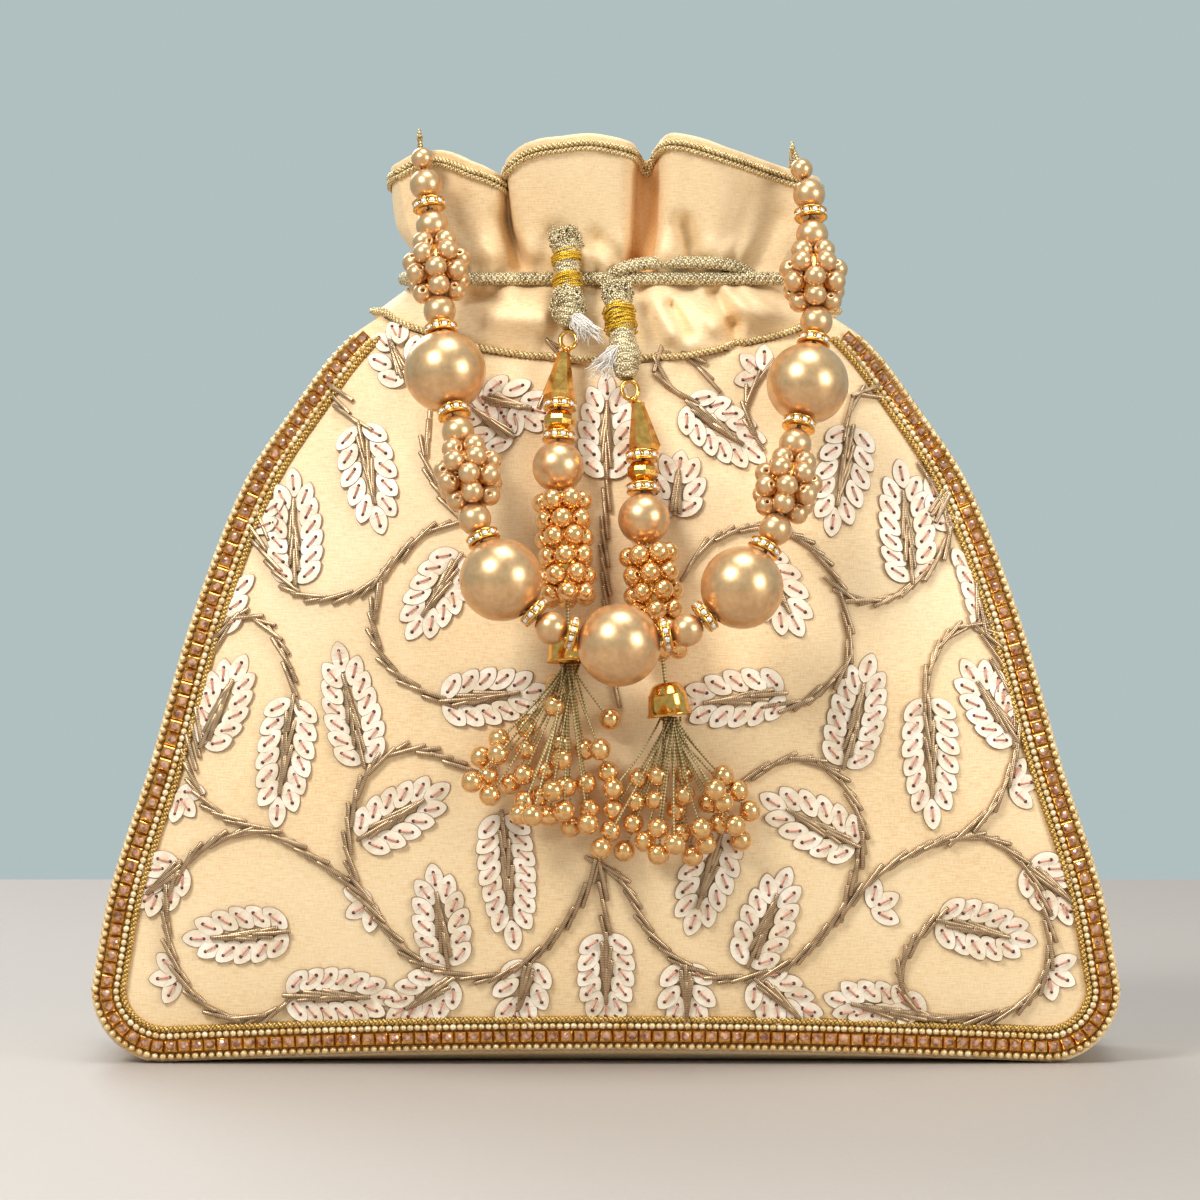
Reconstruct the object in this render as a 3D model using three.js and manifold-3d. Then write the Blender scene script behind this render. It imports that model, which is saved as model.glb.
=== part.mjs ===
// A potli bag: an embroidered silk pouch with a gathered neck, a bead handle and two bead tassels.
// Millimetres, +Z up, +X to the wearer's right hand as the front is looked at, the front faces -Y.
// The origin is the middle of the flat base.
import * as THREE from 'three';
import { mergeVertices } from 'three/addons/utils/BufferGeometryUtils.js';
import Module from 'manifold-3d';

const wasm = await Module();
wasm.setup();

// Bag body
const HALF_WIDTH = 124; // at the widest, just above the base
const CORNER = 18; // radius of the lower corners
const SEAM_HALF_WIDTH = 64; // where the yoke is sewn on
const NECK_HALF_WIDTH = 43; // inside the drawstring
const MOUTH_HALF_WIDTH = 51.5; // at the ruffle's hem
const BELLY_DEPTH = 42; // from the middle of the bag to the fullest part of a panel
const BASE_DEPTH = 29; // the same, at the foot of a panel
const SEAM_DEPTH = 23.5;
const NECK_DEPTH = 14;
const MOUTH_DEPTH = 18;
const GUSSET_DEPTH = 26; // half the gusset's width at the base
const GUSSET_NECK_DEPTH = 7; // the same, at the neck
const PANEL_FULLNESS = 2.4; // power of the panels' bulge from side to side

// Heights
const SEAM_HEIGHT = 168; // yoke seam at the middle of a panel
const SEAM_RISE = 12; // by which it climbs to the sides
const CORD_HEIGHT = 189;
const HEM_HEIGHT = 222;
const FOOT_HEIGHT = 0.6; // lower edge of the panels at the corners
const FOOT_ARCH = 3; // by which that edge lifts at the middle

// Cloth
const CLOTH = 1.2;
const LINING_CLOTH = 0.8;
const GAP = 0.3; // between pieces that touch
const GUSSET_CLEARANCE = 0.7; // from the gusset to the inside of a panel
const EDGE_COVER = 1; // by which a panel stands past the gusset
const LINING_FLOOR = 4.6;
const PUFF = 2.2; // height of the gathers under the drawstring
const LOBE = 4.6; // depth of the ruffle's waves
const LOBES = 3; // on each side of the ruffle
const PUFFS = 6;

// Trim and braids
const TRIM_WIDTH = 8.4;
const TRIM_HEIGHT = 2.2;
const TRIM_STAND = 0.6; // from the panel to the underside of the trim
const TRIM_END_DROP = 5.5; // from the side seam down to the trim's ends
const BRAID_RADIUS = 0.9;
const HEM_BRAID_DROP = 3;

// Drawstring
const CORD_RADIUS = 1.75;
const CORD_STEPS = 40;
const WRAP_RADIUS = 4.5;
const WRAP_LENGTH = 23;

// Handle beads
const STRAND_RADIUS = 0.5;
const LARGE_PEARL = 9.8; // radii
const SMALL_PEARL = 3.9;
const END_PEARL = 2.7;
const WOVEN_BEAD = 2.7;
const RONDELLE_RADIUS = 4;
const RONDELLE_THICKNESS = 2.3;
const CLUSTER_PITCH = 14.6; // length that a woven ball takes on the strand
const CLUSTER_RING = 6.2; // bead circle round its waist
const CLUSTER_END_RING = 4.4;
const CLUSTER_END_HEIGHT = 5.8;
const STRAND_STEPS = 44;
const STRAND_CLEARANCE = 0.7; // from the strand to a bead's bore
const LARGE_BORE = 2.3; // wide enough for the strand's curve
const WOVEN_BORE = 1.6;
const LOOP_RADIUS = 0.8;
const END_CLEARANCE = 1; // from the handle's axis to the strand's ends
const LOOP_DEPTH = 14; // from the hem down to where a handle loop is sewn in

// Tassels
const CONE_LENGTH = 12.6;
const CONE_TIP = 1.7;
const CONE_MOUTH = 3.6;
const FACETED_BEAD_RADIUS = 3.9;
const FACETED_BEAD_LENGTH = 5;
const TASSEL_PEARL = 6.2;
const COLUMN_LENGTH = 28;
const COLUMN_RING = 5.2;
const COLUMN_ROWS = 5;
const COLUMN_BEADS = 4;
const COLUMN_DROP = 5; // bare thread between a woven column and its cap
const CAP_LENGTH = 8;
const CAP_RADIUS = 5.4;
const CAP_WALL = 0.7;
const FRINGE_KNOT = 2;
const FRINGE_THREAD = 0.45;
const FRINGE_BEAD = 2.6;
const HOOK_WIRE = 0.7;

const part = new THREE.Group();

const finish = (color, roughness, metalness) => new THREE.MeshStandardMaterial({ color, roughness, metalness });
const SILK = finish('#f4d6a2', 0.5, 0);
const SATIN = finish('#d8963f', 0.35, 0);
const GOLD = finish('#d4a040', 0.3, 1);
const PEARL = finish('#d7af82', 0.25, 0.2);
const COPPER_BEAD = finish('#cd8c4b', 0.3, 0.4);
const METAL_CORD = finish('#beb68c', 0.5, 0.6);
const GOLD_THREAD = finish('#e1b428', 0.5, 0.5);
const TRIM = finish('#be8c78', 0.3, 0.4);

// A smooth curve through [place, value] stations
function through(stations) {
	const slope = (i) => {
		const [a, b] = [stations[Math.max(i - 1, 0)], stations[Math.min(i + 1, stations.length - 1)]];
		return (b[1] - a[1]) / (b[0] - a[0]);
	};
	return (place) => {
		const last = stations.length - 2;
		const next = stations.findIndex(([station]) => station > place);
		const i = next < 0 ? last : Math.min(Math.max(next - 1, 0), last);
		const [[x0, y0], [x1, y1]] = [stations[i], stations[i + 1]];
		const span = x1 - x0;
		const t = Math.min(Math.max((place - x0) / span, 0), 1);
		return y0 * (1 + 2 * t) * (1 - t) ** 2 + y1 * t * t * (3 - 2 * t)
			+ slope(i) * span * t * (1 - t) ** 2 - slope(i + 1) * span * t * t * (1 - t);
	};
}

// Forms: closed bodies with their faces out
function closed(geometry) {
	geometry.deleteAttribute('normal');
	geometry.deleteAttribute('uv');
	const merged = mergeVertices(geometry, 1e-4);
	const position = merged.attributes.position;
	const [a, b, c] = [new THREE.Vector3(), new THREE.Vector3(), new THREE.Vector3()];
	const faces = [];
	let volume = 0;
	for (let i = 0; i < merged.index.count; i += 3) {
		const face = [0, 1, 2].map((k) => merged.index.getX(i + k));
		if (new Set(face).size < 3) continue;
		faces.push(face);
		[a, b, c].forEach((corner, k) => corner.fromBufferAttribute(position, face[k]));
		volume += a.dot(b.cross(c));
	}
	if (volume < 0) faces.forEach((face) => face.reverse());
	merged.setIndex(faces.flat());
	return merged;
}

function addMesh(name, geometry, material, parent = part) {
	const mesh = new THREE.Mesh(geometry, material);
	mesh.name = name;
	parent.add(mesh);
	return mesh;
}

// A slab of cloth: a box cut into cells, each corner moved to place(across, along, deep), all 0 to 1
function slab(across, along, place) {
	const geometry = new THREE.BoxGeometry(1, 1, 1, across, along, 1).translate(0.5, 0.5, 0.5);
	const position = geometry.attributes.position;
	for (let i = 0; i < position.count; i++) {
		const to = place(position.getX(i), position.getY(i), position.getZ(i));
		position.setXYZ(i, to.x, to.y, to.z);
	}
	return closed(geometry);
}

// A ring of cloth: each corner of a lathed ring moved to place(around, row)
function ring(segments, rows, place, open = false) {
	const profile = Array.from({ length: rows + 1 }, (_, row) => new THREE.Vector2(1, row));
	const geometry = new THREE.LatheGeometry(profile, segments);
	const position = geometry.attributes.position;
	for (let i = 0; i <= segments; i++) {
		for (let row = 0; row <= rows; row++) {
			const to = place((i % segments) / segments, open ? row : row % rows);
			position.setXYZ(i * (rows + 1) + row, to.x, to.y, to.z);
		}
	}
	return closed(geometry);
}

function toSolid(geometry) {
	return new wasm.Manifold(new wasm.Mesh({
		numProp: 3,
		vertProperties: new Float32Array(geometry.attributes.position.array),
		triVerts: new Uint32Array(geometry.index.array),
	}));
}

function toGeometry(solid) {
	const mesh = solid.getMesh();
	const geometry = new THREE.BufferGeometry();
	geometry.setAttribute('position', new THREE.BufferAttribute(mesh.vertProperties, 3));
	geometry.setIndex(new THREE.BufferAttribute(mesh.triVerts, 1));
	return geometry;
}

const union = (geometries) => toGeometry(geometries.map(toSolid).reduce((all, one) => all.add(one)));

// A round rod along a curve
function rod(curve, radius, steps, sides, isRing = false) {
	const section = new THREE.Shape();
	for (let i = 0; i < sides; i++) {
		const turn = (2 * Math.PI * i) / sides;
		const [x, y] = [radius * Math.cos(turn), radius * Math.sin(turn)];
		if (i) section.lineTo(x, y);
		else section.moveTo(x, y);
	}
	if (isRing) {
		return ring(steps, sides, (around, side) => {
			const centre = curve.getPoint(around);
			const out = new THREE.Vector3(centre.x, centre.y, 0).normalize();
			const turn = (2 * Math.PI * side) / sides;
			centre.z += radius * Math.sin(turn);
		return centre.addScaledVector(out, radius * Math.cos(turn));
		});
	}
	return closed(new THREE.ExtrudeGeometry(section, { extrudePath: curve, steps, bevelEnabled: false }));
}

const smallBall = (radius) => closed(new THREE.IcosahedronGeometry(1.08 * radius));
const turned = (profile, sides) => closed(new THREE.LatheGeometry(
	profile.map(([radius, height]) => new THREE.Vector2(radius, height)), sides,
).rotateX(Math.PI / 2));

// A ball with a bore along Z
function bead(radius, bore, sides, rows) {
	const start = Math.asin(bore / radius);
	const profile = Array.from({ length: rows + 1 }, (_, row) => {
		const turn = THREE.MathUtils.lerp(start, Math.PI - start, row / rows);
		return [radius * Math.sin(turn), radius * Math.cos(turn)];
	});
	return turned([...profile, profile[0]], sides);
}

// The bag's form: half width, and depth of the panels and of the gusset, by height
const SIDE_SEAM_HEIGHT = SEAM_HEIGHT + SEAM_RISE;
const widthAbove = through([
	[CORNER, HALF_WIDTH],
	[0.25 * SEAM_HEIGHT, 0.963 * HALF_WIDTH],
	[0.43 * SEAM_HEIGHT, 0.885 * HALF_WIDTH],
	[0.64 * SEAM_HEIGHT, 0.805 * HALF_WIDTH],
	[0.83 * SEAM_HEIGHT, 0.707 * HALF_WIDTH],
	[0.94 * SEAM_HEIGHT, 0.29 * HALF_WIDTH + 0.62 * SEAM_HALF_WIDTH],
	[SIDE_SEAM_HEIGHT - 6, SEAM_HALF_WIDTH - 1],
	[CORD_HEIGHT, NECK_HALF_WIDTH],
	[CORD_HEIGHT + 0.4 * (HEM_HEIGHT - CORD_HEIGHT), 0.5 * (NECK_HALF_WIDTH + MOUTH_HALF_WIDTH) + 1],
	[HEM_HEIGHT, MOUTH_HALF_WIDTH],
]);
const panelDepth = through([
	[0, BASE_DEPTH],
	[0.12 * SEAM_HEIGHT, 0.6 * BASE_DEPTH + 0.43 * BELLY_DEPTH],
	[0.3 * SEAM_HEIGHT, 0.97 * BELLY_DEPTH],
	[0.45 * SEAM_HEIGHT, BELLY_DEPTH],
	[0.65 * SEAM_HEIGHT, 0.94 * BELLY_DEPTH],
	[0.85 * SEAM_HEIGHT, 0.79 * BELLY_DEPTH],
	[SEAM_HEIGHT, SEAM_DEPTH + 1.5],
	[0.5 * (SEAM_HEIGHT + CORD_HEIGHT), 0.5 * (SEAM_DEPTH + NECK_DEPTH) + 2],
	[CORD_HEIGHT, NECK_DEPTH],
	[HEM_HEIGHT, MOUTH_DEPTH],
]);
const gussetDepth = through([
	[0, GUSSET_DEPTH],
	[0.45 * SEAM_HEIGHT, GUSSET_DEPTH],
	[0.85 * SEAM_HEIGHT, 0.5 * GUSSET_DEPTH],
	[SIDE_SEAM_HEIGHT, GUSSET_NECK_DEPTH + 1],
	[HEM_HEIGHT, GUSSET_NECK_DEPTH],
]);

function halfWidth(height) {
	if (height >= CORNER) return widthAbove(height);
	return HALF_WIDTH - CORNER + Math.sqrt(CORNER ** 2 - (CORNER - height) ** 2);
}

const bulge = (side) => 1 - Math.min(Math.abs(side), 1) ** PANEL_FULLNESS;
const depthAt = (side, height) =>
	gussetDepth(height) + (panelDepth(height) - gussetDepth(height)) * bulge(side);
const seamHeight = (side) => SEAM_HEIGHT + SEAM_RISE * Math.min(Math.abs(side), 1) ** 1.5;
const footHeight = (side) => FOOT_HEIGHT + FOOT_ARCH * (1 - side ** 2);
// Panels: side runs from -1 to 1, facing is -1 for the front and 1 for the back
function addPanel(name, facing, columns, rows) {
	const geometry = slab(columns, rows, (across, along, deep) => {
		const side = 2 * across - 1;
		const foot = footHeight(side);
		const height = foot + (seamHeight(side) - foot) * along ** 1.4;
		const depth = depthAt(side, height) - deep * CLOTH;
		return new THREE.Vector3(side * halfWidth(height), facing * depth, height);
	});
	addMesh(name, geometry, SILK);
}
addPanel('front_panel', -1, 16, 11);
addPanel('back_panel', 1, 12, 8);

// The edge of a bag wall from the left side seam, round the corners and the base, to the right side seam.
// cover is the distance in from the panels' edge, inward points into the wall.
const SIDE_STEPS = 8;
const CORNER_STEPS = 4;
const BASE_STEPS = 12;
const EDGE_STEPS = 2 * (SIDE_STEPS + CORNER_STEPS) + BASE_STEPS;

function edgePoint(step, cover, foot, top) {
	if (step > EDGE_STEPS / 2) {
		const mirrored = edgePoint(EDGE_STEPS - step, cover, foot, top);
		return { x: -mirrored.x, z: mirrored.z, inward: { x: -mirrored.inward.x, z: mirrored.inward.z } };
	}
	if (step <= SIDE_STEPS) {
		const height = top + ((CORNER - top) * step) / SIDE_STEPS;
		return { x: cover - halfWidth(height), z: height, inward: { x: 1, z: 0 } };
	}
	if (step <= SIDE_STEPS + CORNER_STEPS) {
		const turn = (Math.PI / 2) * ((step - SIDE_STEPS) / CORNER_STEPS);
		return {
			x: CORNER - HALF_WIDTH - (CORNER - cover) * Math.cos(turn),
			z: CORNER - (CORNER - foot(1)) * Math.sin(turn),
			inward: { x: Math.cos(turn), z: Math.sin(turn) },
		};
	}
	const side = -(EDGE_STEPS / 2 - step) / (BASE_STEPS / 2);
	return { x: side * (HALF_WIDTH - CORNER), z: foot(side), inward: { x: 0, z: 1 } };
}

// Gusset: one strip down the left side, under the base and up the right side
const BASE_FLAT_SHARE = 0.5; // of the gusset's width that stays flat on the table
const gusset = slab(4, EDGE_STEPS, (across, along, deep) => {
	const edge = edgePoint(Math.round(along * EDGE_STEPS), EDGE_COVER, () => 0, SIDE_SEAM_HEIGHT - GAP);
	const lean = 2 * across - 1;
	const side = edge.x / halfWidth(Math.max(edge.z, FOOT_HEIGHT));
	const reach = depthAt(side, Math.max(edge.z, FOOT_HEIGHT)) - CLOTH - GUSSET_CLEARANCE;
	const onBase = Math.min(edge.inward.z, 1) ** 8;
	const lift = Math.max(Math.abs(lean) - BASE_FLAT_SHARE, 0) / (1 - BASE_FLAT_SHARE);
	const arch = onBase * Math.max(footHeight(side) - FOOT_HEIGHT, 0) * lift ** 2;
	return new THREE.Vector3(
		edge.x + deep * CLOTH * edge.inward.x,
		lean * reach,
		edge.z + deep * CLOTH * edge.inward.z + arch,
	);
});
addMesh('gusset', gusset, SILK);

// Trim: a band of beads and stones sewn along each panel's edge
const TRIM_ROWS = [0.6, 1, 0.75, 0.5]; // heights across the band, from its outer row of beads
function addTrim(name, facing) {
	const geometry = slab(TRIM_ROWS.length - 1, EDGE_STEPS, (across, along, deep) => {
		const edge = edgePoint(Math.round(along * EDGE_STEPS), 0, footHeight, SIDE_SEAM_HEIGHT - TRIM_END_DROP);
		const x = edge.x + across * TRIM_WIDTH * edge.inward.x;
		const z = edge.z + across * TRIM_WIDTH * edge.inward.z;
		const crown = TRIM_ROWS[Math.round(across * (TRIM_ROWS.length - 1))] * TRIM_HEIGHT;
		const depth = depthAt(x / halfWidth(z), z) + TRIM_STAND + (1 - deep) * crown;
		return new THREE.Vector3(x, facing * depth, z);
	});
	addMesh(name, geometry, TRIM);
}
addTrim('front_trim', -1);
addTrim('back_trim', 1);

// Round the bag: around runs from 0 to 1, first along the front, then a side, the back and the other side
const FRONT_STEPS = 24;
const SIDE_TURN_STEPS = 4;
const ROUND_STEPS = 2 * (FRONT_STEPS + SIDE_TURN_STEPS);
const FRONT_SHARE = FRONT_STEPS / ROUND_STEPS;

function wallPlace(around) {
	const isBack = around >= 0.5;
	const half = isBack ? around - 0.5 : around;
	const facing = isBack ? 1 : -1;
	const side = half < FRONT_SHARE ? (2 * half) / FRONT_SHARE - 1 : 1;
	const lean = half < FRONT_SHARE ? 1 : 1 - 2 * ((half - FRONT_SHARE) / (0.5 - FRONT_SHARE));
	return { side: isBack ? -side : side, lean: facing * lean };
}

const SIDE_SWELL = 0.35; // by which the sides round out, as a share of the gusset's depth
function wallPoint(around, height, inset) {
	const { side, lean } = wallPlace(around);
	const swell = SIDE_SWELL * gussetDepth(height) * (1 - lean ** 2);
	const reach = Math.abs(side) * halfWidth(height) - inset * side ** 4 + swell;
	return new THREE.Vector3(Math.sign(side) * reach, lean * (depthAt(side, height) - inset), height);
}

// Lining: a bag inside the bag, sewn in at the yoke seam
const LINING_INSET = EDGE_COVER + CLOTH + 0.6;
const LINING_ROWS = 7;
function liningPoint(around, row, layer) {
	const { side, lean } = wallPlace(around);
	const inset = LINING_INSET + layer * LINING_CLOTH;
	const floor = LINING_FLOOR + layer * LINING_CLOTH;
	if (row === 0) return new THREE.Vector3(0, 0, floor);
	const height = floor + (seamHeight(side) - GAP - floor) * ((row - 1) / (LINING_ROWS - 1)) ** 1.5;
	const drop = Math.max(CORNER - height, 0) / (CORNER - floor);
	const corner = height < CORNER ? (CORNER - inset) * (1 - Math.sqrt(1 - drop ** 2)) : 0;
	const width = (height < CORNER ? HALF_WIDTH : halfWidth(height)) - inset - corner;
	const depth = depthAt(side, height) - inset + EDGE_COVER - 0.2;
	return new THREE.Vector3(side * width, lean * depth, height);
}
const lining = ring(ROUND_STEPS / 2, 2 * LINING_ROWS + 1, (around, row) => (
	row <= LINING_ROWS ? liningPoint(around, row, 0) : liningPoint(around, 2 * LINING_ROWS + 1 - row, 1)
), true);
addMesh('lining', lining, SATIN);

// Yoke and ruffle: one gathered ring of silk, drawn in by the drawstring and open at the top
const YOKE_ROWS = 4;
const RUFFLE_ROWS = 5;
const NECK_ROWS = YOKE_ROWS + RUFFLE_ROWS;
const hemHeight = through([
	[-1, HEM_HEIGHT - 5],
	[-0.8, HEM_HEIGHT - 2],
	[-0.62, HEM_HEIGHT - 5.5],
	[-0.5, HEM_HEIGHT - 8.5],
	[-0.35, HEM_HEIGHT + 0.5],
	[-0.05, HEM_HEIGHT + 1.5],
	[0.17, HEM_HEIGHT - 2],
	[0.33, HEM_HEIGHT + 2],
	[0.6, HEM_HEIGHT - 2],
	[1, HEM_HEIGHT - 8],
]);
const backHemHeight = through([
	[-1, HEM_HEIGHT - 9],
	[-0.5, HEM_HEIGHT - 12],
	[-0.1, HEM_HEIGHT - 6],
	[0.2, HEM_HEIGHT - 8],
	[0.5, HEM_HEIGHT - 6],
	[1, HEM_HEIGHT - 10],
]);

function neckPoint(around, row, inset) {
	const { side, lean } = wallPlace(around);
	const seam = seamHeight(side) + GAP;
	const hem = THREE.MathUtils.lerp(hemHeight(side), backHemHeight(side), (lean + 1) / 2);
	const climb = (row - YOKE_ROWS) / RUFFLE_ROWS;
	const isYoke = row < YOKE_ROWS;
	const yokeHeight = seam + ((CORD_HEIGHT - seam) * row) / YOKE_ROWS;
	const height = isYoke ? yokeHeight : CORD_HEIGHT + (hem - CORD_HEIGHT) * climb;
	const swell = Math.sin((Math.PI * row) / YOKE_ROWS) ** 2;
	const puff = isYoke ? PUFF * swell * Math.cos(Math.PI * PUFFS * side) : 0;
	const lobe = row > YOKE_ROWS ? -LOBE * climb * Math.cos(Math.PI * LOBES * (side + 1)) : 0;
	const point = wallPoint(around, height, inset);
	point.y += Math.sign(lean) * (puff + lobe) * Math.min(bulge(side) * 1.6, 1);
	return point;
}
const neck = ring(ROUND_STEPS, 2 * (NECK_ROWS + 1), (around, row) => (
	row <= NECK_ROWS ? neckPoint(around, row, 0) : neckPoint(around, 2 * NECK_ROWS + 1 - row, CLOTH)
));
addMesh('neck_ruffle', neck, SILK);

// Braids over the hem and over the yoke seam
function addBraid(name, place) {
	const geometry = ring(ROUND_STEPS, 4, (around, side) => {
		const centre = place(around);
		const out = new THREE.Vector2(centre.x / MOUTH_HALF_WIDTH, centre.y / MOUTH_DEPTH).normalize();
		const turn = (Math.PI / 2) * side;
		const stand = CLOTH + BRAID_RADIUS * Math.cos(turn);
		const rise = BRAID_RADIUS * Math.sin(turn);
		return new THREE.Vector3(centre.x + out.x * stand, centre.y + out.y * stand, centre.z + rise);
	});
	addMesh(name, geometry, GOLD);
}
addBraid('hem_braid', (around) => {
	const hem = neckPoint(around, NECK_ROWS, -GAP);
	const below = neckPoint(around, NECK_ROWS - 1, -GAP);
	return hem.lerp(below, HEM_BRAID_DROP / (hem.z - below.z));
});
addBraid('yoke_braid', (around) => neckPoint(around, 0, -GAP));

// Drawstring: one run round the neck, and an end laid beside it that tucks in at the right
const CORD_STAND = 2.3; // from the cloth to the cord's middle
const cordPoint = (around, height, stand) => wallPoint(around, height, -stand);
const runPoints = Array.from({ length: ROUND_STEPS / 2 }, (_, step) => {
	const around = (2 * step) / ROUND_STEPS;
	return cordPoint(around, CORD_HEIGHT, CORD_STAND + Math.abs(wallPlace(around).side) ** 4);
});
const run = new THREE.CatmullRomCurve3(runPoints, true);
addMesh('drawstring', rod(run, CORD_RADIUS, CORD_STEPS, 8, true), METAL_CORD);

const TUCK_PLACES = [0.53, 0.62, 0.72, 0.82, 0.9]; // along the front, from its left to its right side
const tuckPoints = TUCK_PLACES.map((place) => (
	cordPoint(place * FRONT_SHARE, CORD_HEIGHT + 2 * CORD_RADIUS + 0.6, CORD_STAND + 0.7)
));
addMesh('drawstring_end', rod(new THREE.CatmullRomCurve3(tuckPoints), CORD_RADIUS, 8, 8), METAL_CORD);

// Pieces strung on a curve
function frameOn(curve, distance) {
	const at = Math.min(Math.max(distance / curve.getLength(), 0), 1);
	const turn = new THREE.Quaternion().setFromUnitVectors(new THREE.Vector3(0, 0, 1), curve.getTangentAt(at));
	return new THREE.Matrix4().compose(curve.getPointAt(at), turn, new THREE.Vector3(1, 1, 1));
}

// The stretch of a curve between two distances along it
function stretch(curve, from, to, points) {
	const length = curve.getLength();
	return new THREE.CatmullRomCurve3(Array.from({ length: points }, (_, i) => (
		curve.getPointAt(THREE.MathUtils.lerp(from, to, i / (points - 1)) / length)
	)));
}

// A woven ball or column: rings of beads, each turned by half a bead, on a core
function woven(rings, coreRadius) {
	const beads = rings.flatMap(({ count, radius, height }, row) => Array.from({ length: count }, (_, i) => {
		const turn = (2 * Math.PI * (i + (row % 2) / 2)) / count;
		return smallBall(WOVEN_BEAD).translate(radius * Math.cos(turn), radius * Math.sin(turn), height);
	}));
	const end = rings[rings.length - 1].height;
	const core = turned([
		[WOVEN_BORE, -end],
		[coreRadius, -end],
		[coreRadius, end],
		[WOVEN_BORE, end],
		[WOVEN_BORE, -end],
	], 8);
	return union([core, ...beads]);
}

const PROFILES = {
	rondelle: [
		[0, -RONDELLE_THICKNESS / 2],
		[RONDELLE_RADIUS, -RONDELLE_THICKNESS / 2],
		[RONDELLE_RADIUS, RONDELLE_THICKNESS / 2],
		[0, RONDELLE_THICKNESS / 2],
	],
	faceted: [
		[STRAND_RADIUS + STRAND_CLEARANCE, -FACETED_BEAD_LENGTH / 2],
		[0.6 * FACETED_BEAD_RADIUS, -FACETED_BEAD_LENGTH / 2],
		[FACETED_BEAD_RADIUS, 0],
		[0.6 * FACETED_BEAD_RADIUS, FACETED_BEAD_LENGTH / 2],
		[STRAND_RADIUS + STRAND_CLEARANCE, FACETED_BEAD_LENGTH / 2],
		[STRAND_RADIUS + STRAND_CLEARANCE, -FACETED_BEAD_LENGTH / 2],
	],
	cone: [
		[0, -CONE_LENGTH / 2],
		[CONE_TIP, -CONE_LENGTH / 2],
		[CONE_MOUTH, CONE_LENGTH / 2],
		[0, CONE_LENGTH / 2],
	],
};
const columnRings = Array.from({ length: COLUMN_ROWS }, (_, row) => ({
	count: COLUMN_BEADS,
	radius: COLUMN_RING,
	height: (COLUMN_LENGTH - 2 * WOVEN_BEAD) * (row / (COLUMN_ROWS - 1) - 0.5),
}));
const clusterRings = [
	{ count: 4, radius: CLUSTER_END_RING, height: -CLUSTER_END_HEIGHT },
	{ count: 5, radius: CLUSTER_RING, height: 0 },
	{ count: 4, radius: CLUSTER_END_RING, height: CLUSTER_END_HEIGHT },
];
const SMALL_BORE = STRAND_RADIUS + STRAND_CLEARANCE;
const BEADS = {
	large: { length: 2 * LARGE_PEARL, make: () => bead(LARGE_PEARL, LARGE_BORE, 12, 7), material: PEARL },
	small: { length: 2 * SMALL_PEARL, make: () => bead(SMALL_PEARL, SMALL_BORE, 8, 4), material: PEARL },
	end: { length: 2 * END_PEARL, make: () => bead(END_PEARL, SMALL_BORE, 6, 3), material: PEARL },
	tassel_pearl: {
		length: 2 * TASSEL_PEARL,
		make: () => bead(TASSEL_PEARL, SMALL_BORE, 10, 6),
		material: PEARL,
	},
	rondelle: { length: RONDELLE_THICKNESS, make: () => turned(PROFILES.rondelle, 8), isOnStrand: true },
	cluster: { length: CLUSTER_PITCH, make: () => woven(clusterRings, CLUSTER_RING - 1.6), material: PEARL },
	faceted: { length: FACETED_BEAD_LENGTH, make: () => turned(PROFILES.faceted, 6), material: GOLD },
	column: { length: COLUMN_LENGTH, make: () => woven(columnRings, COLUMN_RING - 0.6), material: COPPER_BEAD },
};

// Strings beads from a distance along the curve, forward or back, and returns the distance reached
function thread(curve, order, from, direction, nameOf, onStrand) {
	let distance = from;
	order.forEach((kind, i) => {
		const { length, make, material, isOnStrand } = BEADS[kind];
		const frame = frameOn(curve, distance + direction * (GAP + length / 2));
		const piece = make().applyMatrix4(frame);
		if (isOnStrand) onStrand.push(piece);
		else addMesh(nameOf(kind, i), piece, material);
		distance += direction * (GAP + length);
	});
	return distance;
}

// Handle: a strand of beads from one side of the ruffle's hem down over the front to the other side
const HANDLE_LEFT_END = new THREE.Vector3(-45, -15.5, HEM_HEIGHT + 1.6);
const HANDLE_RIGHT_END = new THREE.Vector3(45, -15.5, HEM_HEIGHT - 1.4);
const HANDLE_ROUTE = [
	[-43.6, -19.5, 213],
	[-41.3, -25.5, 198],
	[-40, -32, 185],
	[-39.3, -39, 172.5],
	[-36.7, -46, 159],
	[-33.8, -53, 146.8],
	[-31, -59.5, 132],
	[-25.7, -64.8, 119.2],
	[-14.5, -67, 107.4],
	[1.4, -67.6, 102.6],
	[16, -67, 104.6],
	[30.4, -65, 114.2],
	[38.7, -60.5, 126.6],
	[43.3, -54, 140.4],
	[45.7, -46.5, 154.2],
	[49, -39, 168.5],
	[50.6, -32, 183.5],
	[49.7, -25.5, 197.3],
	[48.6, -19.5, 211],
];
const handleCurve = new THREE.CatmullRomCurve3([
	HANDLE_LEFT_END,
	...HANDLE_ROUTE.map((point) => new THREE.Vector3(...point)),
	HANDLE_RIGHT_END,
]);
const HALF_ORDER = [
	'rondelle', 'small', 'rondelle', 'large', 'rondelle', 'small', 'cluster', 'small', 'rondelle',
	'large', 'rondelle', 'small', 'cluster', 'small', 'rondelle', 'small', 'end',
];
const handleMiddle = handleCurve.getLength() / 2;
const strandCurve = stretch(handleCurve, END_CLEARANCE, 2 * handleMiddle - END_CLEARANCE, STRAND_STEPS / 2);
const handleStrand = [rod(strandCurve, STRAND_RADIUS, STRAND_STEPS, 4)];
addMesh('handle_pearl_middle', BEADS.large.make().applyMatrix4(frameOn(handleCurve, handleMiddle)), PEARL);
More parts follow.
